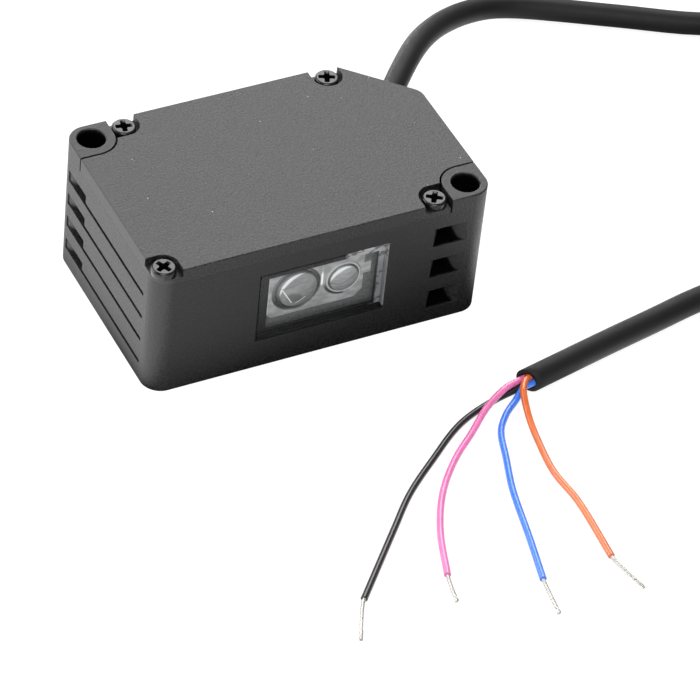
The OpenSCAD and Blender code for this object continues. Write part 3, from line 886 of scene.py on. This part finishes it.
def dress_node(node: str, finish: Finish) -> None:
    """Gives a CAD node that stays as it is its finish.

    Args:
        node: The CAD node.
        finish: Its finish.
    """
    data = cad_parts[node].data
    data.materials.clear()
    data.materials.append(finish.build())
    LOG.info("node %s", node)


def crease(bm: bmesh.types.BMesh, angle: float = 50) -> None:
    """Shades a mesh smooth but for its sharp edges.

    Args:
        bm: The mesh.
        angle: Degrees from which an edge is sharp.
    """
    for e in bm.edges:
        e.smooth = len(e.link_faces) != 2 or e.calc_face_angle(0) < math.radians(angle)
    for f in bm.faces:
        f.smooth = True


def smooth_copy(node: str, name: str, edge: float) -> bpy.types.Object:
    """Copies a CAD node as one clean mesh with rounded edges.

    Args:
        node: The CAD node.
        name: Name of the copy.
        edge: Width of the rounding along sharp edges, in metres.

    Returns:
        The new object.
    """
    bm = bmesh.new()
    bm.from_mesh(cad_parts[node].data)
    bmesh.ops.remove_doubles(bm, verts=bm.verts, dist=2e-6)
    flat, sharp = math.radians(0.5), math.radians(30)
    bmesh.ops.dissolve_limit(bm, angle_limit=flat, verts=bm.verts, edges=bm.edges)
    geom = [e for e in bm.edges if len(e.link_faces) == 2 and e.calc_face_angle(0) > sharp]
    bmesh.ops.bevel(bm, geom=geom, offset=edge, offset_type="OFFSET", segments=2, profile=0.5,
                    affect="EDGES", clamp_overlap=True, material=-1)
    crease(bm, 40)
    made = piece_from(bm, name)
    made.modifiers.new("weigh", "WEIGHTED_NORMAL").keep_sharp = True
    return made


def spun(profile: Sequence[Point], axis: Point, steps: int, closed: bool) -> bmesh.types.BMesh:
    """Spins a profile a full turn round an axis through the origin.

    Args:
        profile: Points in millimetres.
        axis: Direction of the axis.
        steps: Faces round the axis.
        closed: Whether the profile's last point joins its first one.

    Returns:
        The mesh, in millimetres, with its faces outwards.
    """
    bm = bmesh.new()
    verts = [bm.verts.new(p) for p in profile]
    loop = verts + verts[:1] if closed else verts
    edges = [bm.edges.new(pair) for pair in zip(loop, loop[1:])]
    bmesh.ops.spin(bm, geom=verts + edges, cent=(0, 0, 0), axis=axis, angle=math.tau,
                   steps=steps, use_merge=True)
    bmesh.ops.remove_doubles(bm, verts=bm.verts, dist=1e-4)
    bmesh.ops.recalc_face_normals(bm, faces=bm.faces)
    return bm


def eased(points: Sequence[Vector], first: int, count: int, rounds: int = 1) -> list[Vector]:
    """Draws points halfway towards the middle of their neighbours, which rounds a bend.

    Args:
        points: The points of a cord.
        first: The first point that moves.
        count: How many points move.
        rounds: How often they move.

    Returns:
        As many points.
    """
    made = list(points)
    last = first + count
    for _ in range(rounds):
        made[first:last] = [
            made[i] * 0.5 + (made[i - 1] + made[i + 1]) * 0.25 for i in range(first, last)]
    return made


def round_curve(name: str, radius: float, sides: int) -> bpy.types.Curve:
    """Starts a curve with a round section and closed ends.

    Args:
        name: Its name.
        radius: Radius of the section, in metres.
        sides: Blender's bevel resolution.

    Returns:
        The empty curve.
    """
    data = bpy.data.curves.new(name, "CURVE")
    data.dimensions = "3D"
    data.bevel_depth, data.bevel_resolution = radius, sides
    data.use_fill_caps = True
    return data


def smooth_line(name: str, points: Sequence[Vector], radius: float, steps: int,
                sides: int) -> bpy.types.Object:
    """Makes a round curve through points that never dips below a level stretch.

    Args:
        name: The object's name.
        points: Points that the curve passes, in metres.
        radius: Radius of the curve's round section.
        steps: Steps between two points.
        sides: Blender's bevel resolution.

    Returns:
        The curve object.
    """
    data = round_curve(name, radius, sides)
    data.resolution_u = data.render_resolution_u = steps
    spline = data.splines.new("BEZIER")
    spline.bezier_points.add(len(points) - 1)
    hair = 1e-6
    for i, (knot, p) in enumerate(zip(spline.bezier_points, points)):
        before, after = points[max(i - 1, 0)], points[min(i + 1, len(points) - 1)]
        way = (after - before).normalized()
        inner = 0 < i < len(points) - 1
        lands = p.z <= before.z + hair or p.z <= after.z + hair
        if inner and lands and min(before.z, after.z) >= p.z - hair:
            way = Vector((way.x, way.y, 0)).normalized()
        knot.handle_left_type = knot.handle_right_type = "FREE"
        knot.co = p
        knot.handle_left = p - way * (p - before).length / 3
        knot.handle_right = p + way * (after - p).length / 3
        knot.handle_left.z = max(knot.handle_left.z, min(p.z, before.z))
        knot.handle_right.z = max(knot.handle_right.z, min(p.z, after.z))
    return linked(name, data)


# Camera, lamps and floor


@dataclass(frozen=True)
class PhotoCamera:
    """The camera where the photographer stood."""

    place: Point = (-0.242664, -0.443201, 0.450834)
    turn: Point = (47.2058, -4.8075, -25.8747)
    lens: float = 220.409
    sensor: float = 36.0
    shift: Pair = (0.0010845, 0.0031733)

    def build(self) -> None:
        """Adds the camera and makes it the scene's own."""
        data = bpy.data.cameras.new("camera")
        data.lens, data.sensor_width = self.lens, self.sensor
        data.shift_x, data.shift_y = self.shift
        camera = linked("camera", data)
        camera.location = self.place
        camera.rotation_euler = [math.radians(a) for a in self.turn]
        bpy.context.scene.camera = camera


@dataclass(frozen=True)
class Lamp:
    """A soft lamp aimed at a point: square, or a strip where it has a height."""

    name: str
    place: Point
    power: float
    size: float
    height: float = 0.0
    aim: Point = (0.02, 0.0, 0.01)

    def build(self) -> None:
        """Adds the lamp."""
        data = bpy.data.lights.new(self.name, "AREA")
        data.shape = "RECTANGLE"
        data.energy, data.size, data.size_y = self.power, self.size, self.height or self.size
        lamp = linked(self.name, data)
        lamp.location = self.place
        away = Vector(self.place) - Vector(self.aim)
        lamp.rotation_euler = away.to_track_quat("Z", "Y").to_euler()


@dataclass(frozen=True)
class Studio:
    """White floor, even surroundings and soft lamps.

    The pieces mirror a painted shine of the floor: pools of painted light round the body at
    distances of its own, painted shade close to its front, and a fade out to the right.
    """

    floor_size: float = 6.0
    paper: float = 0.82
    glow: float = 1.3
    glow_share: float = 0.66
    sky: float = 0.28
    left: Pair = mm(-1, 4)
    left_shine: float = 1.95
    right: Pair = mm(2, 13)
    right_shine: float = 2.2
    behind: float = -12 * MM
    behind_rise: float = 60
    front: float = -21.2 * MM
    front_rise: float = -80
    front_slant: float = 0.2
    fade: Pair = mm(50, 80)
    fade_share: float = 0.85
    lamps: tuple[Lamp, ...] = (
        Lamp("key", (-0.68, 0.55, 0.42), 7.0, 0.7),
        Lamp("back", (0.45, 0.78, 0.8), 9.0, 0.75),
        Lamp("front", (-0.2, -0.95, 0.05), 1.2, 0.9, height=0.12),
        Lamp("fill", (-0.3, -0.6, 0.85), 6.5, 0.6),
        Lamp("low", (0.05, 1.0, 0.09), 4.2, 0.7, height=0.14),
    )

    def _seen(self, graph: Graph) -> Value:
        """1 for a ray from the camera, also through a clear piece."""
        path = graph.node("ShaderNodeLightPath")
        return path["Is Camera Ray"].highest(path["Is Transmission Ray"])

    def _shine(self, graph: Graph) -> Value:
        """How bright the floor's painted shine is in the pieces that mirror it.

        Args:
            graph: The floor's graph.

        Returns:
            The strength of its glow.
        """
        x, y, _ = graph.axes()
        # painted pools of light to the left of, to the right of and behind the body
        left = (-HALF_LENGTH * MM - x).step(*self.left) * self.left_shine
        right = (x - HALF_LENGTH * MM).step(*self.right) * self.right_shine
        behind = ((y - self.behind) * self.behind_rise).lowest(1)
        # painted shade: the shine fades close to the body's front
        front = ((y + x * self.front_slant - self.front) * self.front_rise).lowest(1)
        near = 1 - x.step(*self.fade) * self.fade_share
        return left.highest(behind).highest(front).highest(right) * near

    def _floor(self) -> None:
        """Lays the floor, which the camera sees almost white but for the shadow."""
        bm = bmesh.new()
        bmesh.ops.create_grid(bm, x_segments=1, y_segments=1, size=self.floor_size / 2)
        floor = piece_from(bm, "floor")
        graph = Graph(bpy.data.materials.new("floor_paper"))
        share = self._seen(graph) * self.glow_share
        paper = graph.blend(graph.diffuse(self.paper), graph.emission(self.glow), share)
        # reflections see the painted shine in place of the paper
        mirrored = graph.node("ShaderNodeLightPath")["Is Glossy Ray"]
        shine = graph.emission(self._shine(graph))
        graph.output("ShaderNodeOutputMaterial", graph.blend(paper, shine, mirrored))
        floor.data.materials.append(graph.owner)

    def _sky(self) -> None:
        """Surrounds the scene evenly; what is seen of it is white."""
        world = bpy.context.scene.world = bpy.data.worlds.new("surroundings")
        graph = Graph(world)
        inputs = {"Color": grey(1.0), "Strength": self._seen(graph) * (1 - self.sky) + self.sky}
        sky = graph.node("ShaderNodeBackground", None, inputs)["Background"]
        graph.output("ShaderNodeOutputWorld", sky)

    def build(self) -> None:
        """Sets up floor, surroundings, lamps and view."""
        self._floor()
        self._sky()
        for lamp in self.lamps:
            lamp.build()
        bpy.context.scene.view_settings.view_transform = "Standard"


# Cable


@dataclass(frozen=True)
class CableRoute:
    """Where the cable runs, in millimetres, as the solids have it.

    A point of the feed holds X and Y from the exit and its share of the exit's height, and a
    point of the tail X and Y from the exit and its own height.
    """

    exit: Point = (23.3, 12.8, 12.25)
    radius: float = 2.0
    inside: float = 4.5
    feed: tuple[Point, ...] = (
        (9.5, 10.5, 1), (15.1, 16.9, 0.9), (19.8, 22.2, 0.75), (25.3, 26.8, 0.55), (31, 30.6, 0.35),
        (36, 32.5, 0.2), (40, 33.5, 0.1), (44.5, 33, 0.03), (51, 30, 0), (58, 26, 0), (73, 18, 0))
    tail: tuple[Point, ...] = (
        (66, -42.5, 11), (57, -42, 6), (47.5, -42.4, 2.6), (38, -43.3, 2), (28.5, -45.2, 2),
        (18.5, -47.2, 2), (3, -50.5, 2))
    coil_middle: Pair = (95, -17)
    coil_angles: Pair = (75, -95)
    coil_radii: Point = (28, 24, 20)
    coil_layers: int = 4
    coil_low: float = 2.6
    coil_change: float = 34.0
    run: float = 17.0
    turn_points: int = 24

    def _lanes(self) -> list[Pair]:
        """Radius and height of each lane of the coil, in winding order.

        Returns:
            The lanes.
        """
        lanes = []
        for layer in range(self.coil_layers):
            radii = self.coil_radii if layer % 2 == 0 else self.coil_radii[::-1]
            lanes += [(r, self.coil_low + 2 * self.radius * layer) for r in radii]
        return lanes

    def _coil(self) -> list[Vector]:
        """Winds the coil clockwise, from below to the top.

        Returns:
            Points along its turns, which change lane smoothly.
        """
        lanes = self._lanes()
        whole = self.coil_angles[0] - self.coil_angles[1] + 360 * (len(lanes) - 1)
        count = round(whole / 360 * self.turn_points)
        share, change = whole / len(lanes), self.coil_change
        points = []
        for i in range(count + 1):
            gone = i * whole / count
            lane = min(int((gone + change / 2) / share), len(lanes) - 1)
            ease = min(max((gone - lane * share + change / 2) / change, 0.0), 1.0)
            ease = ease * ease * (3 - 2 * ease)
            here, last = lanes[lane], lanes[max(lane - 1, 0)]
            radius, z = (last[k] + (here[k] - last[k]) * ease for k in (0, 1))
            angle = math.radians(self.coil_angles[0] - gone)
            points.append(self._offset(self.coil_middle[0] + radius * math.cos(angle),
                                       self.coil_middle[1] + radius * math.sin(angle), z))
        return points

    def _offset(self, x: float, y: float, z: float) -> Vector:
        """A point given by its distance from the exit and its own height."""
        return Vector((self.exit[0] + x, self.exit[1] + y, z))

    def _onward(self, angle: float) -> Vector:
        """The way that the winding goes where the coil has an angle in degrees."""
        return Vector((math.sin(math.radians(angle)), -math.cos(math.radians(angle)), 0))

    def _tail_points(self) -> list[Vector]:
        """Points from the coil to the cable's cut end."""
        return [self._offset(*p) for p in self.tail]

    def points(self) -> list[Vector]:
        """Draws the whole cable, from inside the bush to its cut end.

        Returns:
            Its points.
        """
        start = Vector(self.exit)
        fed = [start - Vector((math.sqrt(0.5), math.sqrt(0.5), 0)) * self.inside, start]
        for x, y, share in self.feed:
            fed.append(self._offset(x, y, self.radius + share * (self.exit[2] - self.radius)))
        fed = eased(fed, 2, len(fed) - 3)
        coil = self._coil()
        arrive, leave = (self._onward(angle) for angle in self.coil_angles)
        return [*fed, coil[0] - arrive * self.run, *coil, coil[-1] + leave * self.run,
                *self._tail_points()]

    def end(self) -> tuple[Vector, Vector]:
        """The middle of the cable's cut face and the way that it faces."""
        tail = self._tail_points()
        return tail[-1], (tail[-1] - tail[-2]).normalized()


@dataclass
class Jacket:
    """The cable's sheath in one length, with its cut end, in millimetres."""

    route: CableRoute
    length: float = 1.95
    wall: float = 0.75
    depth: float = 2.2
    outer_lip: float = 0.12
    inner_lip: float = 0.1
    slant: float = -0.38
    short: float = 0.45

    def build(self) -> None:
        points = self.route.points()
        end, way = self.route.end()
        points[-1] = end - way * self.depth
        jacket = smooth_line("cable_jacket", metres(points), self.route.radius * MM, 5, 5)
        settle(jacket, Palette.jacket, "jacket_plastic", "cable_feed", "cable_coil", "cable_tail")
        rim = self._rim(end, way)
        2 * self.route.radius * MM

    def _rim(self, end: Vector, way: Vector) -> bpy.types.Object:
        """Makes the open end of the sheath as a short tube, cut at a slant.

        Args:
            end: Middle of the cut face.
            way: The way that it faces.

        Returns:
            The tube.
        """
        outer, bore = self.route.radius, self.route.radius - self.wall
        ring = [(outer, 0.0), (outer, self.depth - self.outer_lip),
                (outer - self.outer_lip, self.depth), (bore + self.inner_lip, self.depth),
                (bore, self.depth - self.inner_lip), (bore, 0.0)]
        bm = spun([(x, 0, z) for x, z in ring], (0, 0, 1), 40, closed=True)
        for v in bm.verts:
            if v.co.z > self.depth / 2:
                v.co.z += v.co.x * self.slant - self.short
        bmesh.ops.recalc_face_normals(bm, faces=bm.faces)
        crease(bm)
        turn = way.to_track_quat("Z", "Y").to_matrix().to_4x4()
        bm.transform(Matrix.Scale(MM, 4) @ Matrix.Translation(end - way * self.depth) @ turn)
        return settle(piece_from(bm, "cable_cut_end"), Palette.jacket, "jacket_plastic")


class CoreColour(Enum):
    """Colours of the four cores."""

    BLACK = "black"
    PINK = "pink"
    BLUE = "blue"
    ORANGE = "orange"


@dataclass(frozen=True)
class Core:
    """One insulated core with its bare twisted end, in millimetres from the cable's cut end."""

    colour: CoreColour
    side: float
    up: float
    route: tuple[Point, ...]
    strand: Pair
    bends: int = 0
    radius: float = 0.55
    circle: float = 0.78
    back: float = 0.6
    lead: float = 1.5
    hidden: float = 1.2
    strand_lead: float = 1.4
    strand_radius: float = 0.3
    wires_round: int = 6
    wire_radius: float = 0.1
    wire_circle: float = 0.2
    wire_points: int = 26
    fray_from: float = 0.75
    pitch: float = 3.4
    reach: float = 0.99

    def _path(self, cable: CableRoute) -> list[Vector]:
        """Draws the insulation from where it leaves the sheath.

        Args:
            cable: The route of the cable.

        Returns:
            Its points.
        """
        end, way = cable.end()
        across = Vector((-way.y, way.x, 0)) * self.side + Vector((0, 0, self.up))
        start = end - way * self.back + across * self.circle
        bends = [Vector((end.x + x, end.y + y, z)) for x, y, z in self.route]
        return eased([start, start + way * self.lead, *bends], 1, 2, self.bends)

    def build(self, cable: CableRoute) -> None:
        """Args:
            cable: The route of the cable that the core comes out of.
        """
        name = self.colour.value
        path = self._path(cable)
        _, way = cable.end()
        drawn = [path[0] - way * self.hidden] + path
        core = smooth_line(f"insulation_{name}", metres(drawn), self.radius * MM, 8, 4)
        settle(core, getattr(Palette, f"core_{name}"), f"core_{name}_plastic", f"core_{name}")
        strand = self._strand(path)
        settle(strand, Palette.tinned, "strand_tinned", f"strand_{name}")
        length = sum((b - a).length for a, b in zip(drawn, drawn[1:])) * MM
        tuple(path[0] * MM)
        2 * self.radius * MM

    def _strand(self, path: list[Vector]) -> bpy.types.Object:
        """Twists wires round a middle one along the bare end, which frays a little.

        Args:
            path: Points of the insulation.

        Returns:
            The wires.
        """
        name = f"bare_end_{self.colour.value}"
        data = round_curve(name, self.wire_radius * MM, 2)
        first = path[-1]
        middle = first + (first - path[-2]).normalized() * self.strand_lead
        last = Vector((first.x + self.strand[0], first.y + self.strand[1], self.strand_radius))
        length = (middle - first).length + (last - middle).length
        for wire in range(self.wires_round + 1):
            spline = data.splines.new("POLY")
            spline.points.add(self.wire_points - 1)
            for i, knot in enumerate(spline.points):
                t = self.reach * i / (self.wire_points - 1)
                centre = first * (1 - t) ** 2 + middle * 2 * t * (1 - t) + last * t ** 2
                way = ((middle - first) * (1 - t) + (last - middle) * t).normalized()
                across = Vector((-way.y, way.x, 0)).normalized()
                rise = across.cross(way)
                fray = 1 + max(0.0, t - self.fray_from) * (wire % 3 - 0.6)
                spread = 0.0 if wire == self.wires_round else self.wire_circle * fray
                a = math.tau * (wire / self.wires_round + t * length / self.pitch)
                p = centre + across * spread * math.cos(a) + rise * spread * math.sin(a)
                p.z = max(p.z, self.wire_radius)
                knot.co = (*(p * MM), 1)
        return linked(name, data)


CORES = (
    Core(CoreColour.BLACK, 0, -1, (
        (-6, -0.8, 0.6), (-13, -3.5, 0.55), (-20.5, -9, 0.55), (-27, -14.3, 0.55),
        (-32.5, -20.1, 0.55), (-43, -31.4, 0.55)), (-4, -7.2)),
    Core(CoreColour.PINK, -1, 0, (
        (-3.8, -0.3, 2.05), (-8, -2.6, 1.6), (-12, -5.8, 0.8), (-17.3, -10.2, 0.55),
        (-22.3, -16, 0.55), (-26.3, -23.2, 0.55), (-29.3, -31.5, 0.55)), (-1, -5.2)),
    Core(CoreColour.BLUE, 1, 0, (
        (-2.7, -2.1, 0.75), (-5.4, -4.2, 0.6), (-7.8, -7.2, 0.55), (-9.7, -12.5, 0.55),
        (-12, -19.2, 0.55), (-14.3, -29, 0.55), (-16.4, -37.4, 0.55)), (-0.9, -7)),
    Core(CoreColour.ORANGE, 0, 1, (
        (-1.3, -0.7, 3.2), (-1.8, -2.6, 2.75), (-2.8, -6.6, 1.5), (-3.5, -11, 0.8),
        (-4.3, -18, 0.55), (-3.8, -25, 0.55), (-4.6, -36.9, 0.55)), (1.6, -7.5), bends=4),
)


@dataclass
class Cable:
    """The whole cable: sheath, coil ties, cores and bare ends."""

    route: CableRoute

    def build(self) -> None:
        """Builds the sheath and then each core."""
        Jacket(self.route).build()
        for core in CORES:
            core.build(self.route)
        dress_node("coil_ties", Palette.tie)


# Body


@dataclass
class Casing:
    """Housing, cover, cover screws and cable bush."""

    edge: float = 0.14 * MM
    screw_edge: float = 0.1 * MM
    bush_edge: float = 0.08 * MM

    def build(self) -> None:
        """Rounds the edges of each piece and dresses it."""
        for node, name, edge, finish, slot in (
                ("housing", "housing_shell", self.edge, Palette.housing, "housing_plastic"),
                ("cover", "cover_shell", self.edge, Palette.cover, "cover_plastic"),
                ("cover_screws", "pan_head_screws", self.screw_edge, Palette.screw, "screw_black"),
                ("cable_bush", "bush", self.bush_edge, Palette.seal, "seal_rubber")):
            settle(smooth_copy(node, name, edge), finish, slot, node)
        dress_node("cover_gasket", Palette.seal)


@dataclass(frozen=True)
class Lens:
    """One lens and its moat in the flange, in millimetres."""

    name: str
    middle: float
    dome: float
    apex: float
    shoulder: float
    moat: float
    ring: float = 0.0
    steps: int = 12

    def profile(self) -> list[Pair]:
        """Draws the lens from its apex down to the bottom of its moat.

        Returns:
            Radius and height over the flange's face of each point.
        """
        drop = self.apex - self.shoulder
        ball = (self.dome ** 2 + drop ** 2) / (2 * drop)
        radii = [self.dome * i / self.steps for i in range(self.steps + 1)]
        arc = [(r, self.apex - ball + math.sqrt(ball ** 2 - r ** 2)) for r in radii]
        foot = [(self.dome + 0.1, self.shoulder - 0.12), (self.dome + 0.16, -0.2)]
        if self.ring:
            foot = [(self.dome + 0.08, self.shoulder - 0.15), (self.dome + 0.16, 0.06),
                    (self.dome + 0.24, 0.08), (self.dome + 0.32, self.ring),
                    (self.moat - 0.22, self.ring), (self.moat - 0.12, 0.05),
                    (self.moat - 0.1, -0.2)]
        wall = self.moat - 0.04
        return arc + foot + [(wall, -0.28), (wall, -0.9), (0.0, -0.9)]

    def build(self, front: float, height: float) -> bpy.types.Object:
        """Spins the lens round its axis.

        Args:
            front: Y of the flange's face in millimetres.
            height: Z of the axis in millimetres.

        Returns:
            The lens.
        """
        bm = spun([(r, -h, 0) for r, h in self.profile()], (0, 1, 0), 72, closed=False)
        crease(bm)
        bm.transform(Matrix.Scale(MM, 4) @ Matrix.Translation((self.middle, front, height)))
        return piece_from(bm, self.name)


@dataclass
class Optics:
    """Window, seal, lenses, block and diodes, in millimetres."""

    plate: Point = (21.5, 0.97, 13.0)
    plate_middle: Point = (0.0, -17.515, LENS_HEIGHT)
    plate_edge: float = 0.1
    gap: float = 0.24
    clearance: float = 0.02
    bead_front: float = -17.93
    bead_depth: float = 0.9
    flange_front: float = -15.75
    flange_depth: float = 1.2
    outline: tuple[Pair, ...] = (
        (-7.4, -4.8), (6.8, -4.8), (8.1, -3.45), (8.1, -0.35), (9.3, -0.35), (9.3, 1.85),
        (8.1, 1.85), (8.1, 4.35), (-8.4, 4.35), (-8.4, -3.8))
    lenses: tuple[Lens, ...] = (
        Lens("receiving_lens", -3.4, 3.4, 1.08, 0.36, 4.2),
        Lens("sending_lens", SENDING_X, 2.42, 0.95, 0.4, 3.1, 0.2),
    )

    def _window(self) -> bpy.types.Object:
        """Makes the clear plate with fine bevels.

        Returns:
            The plate.
        """
        bm = bmesh.new()
        bmesh.ops.create_cube(bm, size=1.0)
        place = Matrix.Translation(self.plate_middle) @ Matrix.Diagonal((*self.plate, 1))
        bm.transform(Matrix.Scale(MM, 4) @ place)
        bmesh.ops.bevel(bm, geom=bm.edges[:], offset=self.plate_edge * MM, offset_type="OFFSET",
                        segments=1, profile=0.5, affect="EDGES", material=-1)
        return piece_from(bm, "window_plate")

    def _sheet(self, name: str, outlines: Sequence[Sequence[Pair]], rounds: Sequence[Pair],
               front: float, depth: float) -> bpy.types.Object:
        """Makes an upright sheet with holes.

        Args:
            name: The piece's name.
            outlines: Corners in X and Z from the lenses' axis: the outside, then square holes.
            rounds: Middle and radius of each round hole.
            front: Y of the front face.
            depth: Thickness towards the inside.

        Returns:
            The sheet.
        """
        bm = bmesh.new()
        for outline in outlines:
            rim = [bm.verts.new((x, front, LENS_HEIGHT + z)) for x, z in outline]
            for pair in zip(rim, rim[1:] + rim[:1]):
                bm.edges.new(pair)
        for middle, radius in rounds:
            place = Matrix.Translation((middle, front, LENS_HEIGHT))
            bmesh.ops.create_circle(bm, cap_ends=False, segments=72, radius=radius,
                                    matrix=place @ Matrix.Rotation(math.pi / 2, 4, "X"))
        bmesh.ops.triangle_fill(bm, use_beauty=True, use_dissolve=False, edges=bm.edges[:])
        moved = bmesh.ops.extrude_face_region(bm, geom=bm.faces[:])["geom"]
        verts = [part for part in moved if isinstance(part, bmesh.types.BMVert)]
        bmesh.ops.translate(bm, verts=verts, vec=(0, depth, 0))
        bmesh.ops.recalc_face_normals(bm, faces=bm.faces)
        bmesh.ops.dissolve_limit(bm, angle_limit=math.radians(1), verts=bm.verts, edges=bm.edges)
        bm.transform(Matrix.Scale(MM, 4))
        return piece_from(bm, name)

    def _bead(self) -> bpy.types.Object:
        """Makes the bead of adhesive that fills the gap round the plate.

        Returns:
            The bead.
        """
        frames = []
        for grow in (self.gap, self.clearance):
            x, z = self.plate[0] / 2 + grow, self.plate[2] / 2 + grow
            frames.append(((-x, -z), (x, -z), (x, z), (-x, z)))
        return self._sheet("seal_bead", frames, (), self.bead_front, self.bead_depth)

    def build(self) -> None:
        """Builds and dresses the optics from the front to the back."""
        settle(self._window(), Palette.window, "window_clear", "front_window")
        holes = [(lens.middle, lens.moat) for lens in self.lenses]
        flange = self._sheet("lens_flange", (self.outline,), holes, self.flange_front,
                             self.flange_depth)
        settle(flange, Palette.flange, "lens_clear", "lens_moulding")
        for lens, finish in zip(self.lenses, (Palette.big_lens, Palette.small_lens)):
            settle(lens.build(self.flange_front, LENS_HEIGHT), finish, "lens_clear")
        dress_node("window_seal", Palette.seal_strip)
        settle(self._bead(), Palette.seal_strip, "seal_rubber")
        dress_node("optical_block", Palette.block)
        dress_node("receiver_diode", Palette.diode_dark)
        dress_node("emitter_diode", Palette.diode_clear)


class Electronics:
    """Boards, their parts, the indicator and the inner leads."""

    finishes: tuple[tuple[Finish, tuple[str, ...]], ...] = (
        (Palette.board, ("optics_board", "main_board")), (Palette.pin, ("board_pins",)),
        (Palette.chip, ("signal_ic", "voltage_regulator", "output_transistor")),
        (Palette.can, ("smoothing_capacitor",)), (Palette.ceramic, ("chip_parts",)),
        (Palette.indicator, ("indicator_diode", "indicator_window")),
        (Palette.core_black, ("lead_black",)), (Palette.core_pink, ("lead_pink",)),
        (Palette.core_blue, ("lead_blue",)), (Palette.core_orange, ("lead_orange",)))

    def build(self) -> None:
        """Dresses each node of the inside."""
        for finish, nodes in self.finishes:
            for node in nodes:
                dress_node(node, finish)


def main() -> None:
    """Builds camera, cable, body and studio in order."""
    logging.basicConfig(level=logging.INFO, format="%(name)s: %(message)s")
    PhotoCamera().build()
    Cable(CableRoute()).build()
    Casing().build()
    Optics().build()
    Electronics().build()
    Studio().build()


if __name__ == "__main__":
    main()
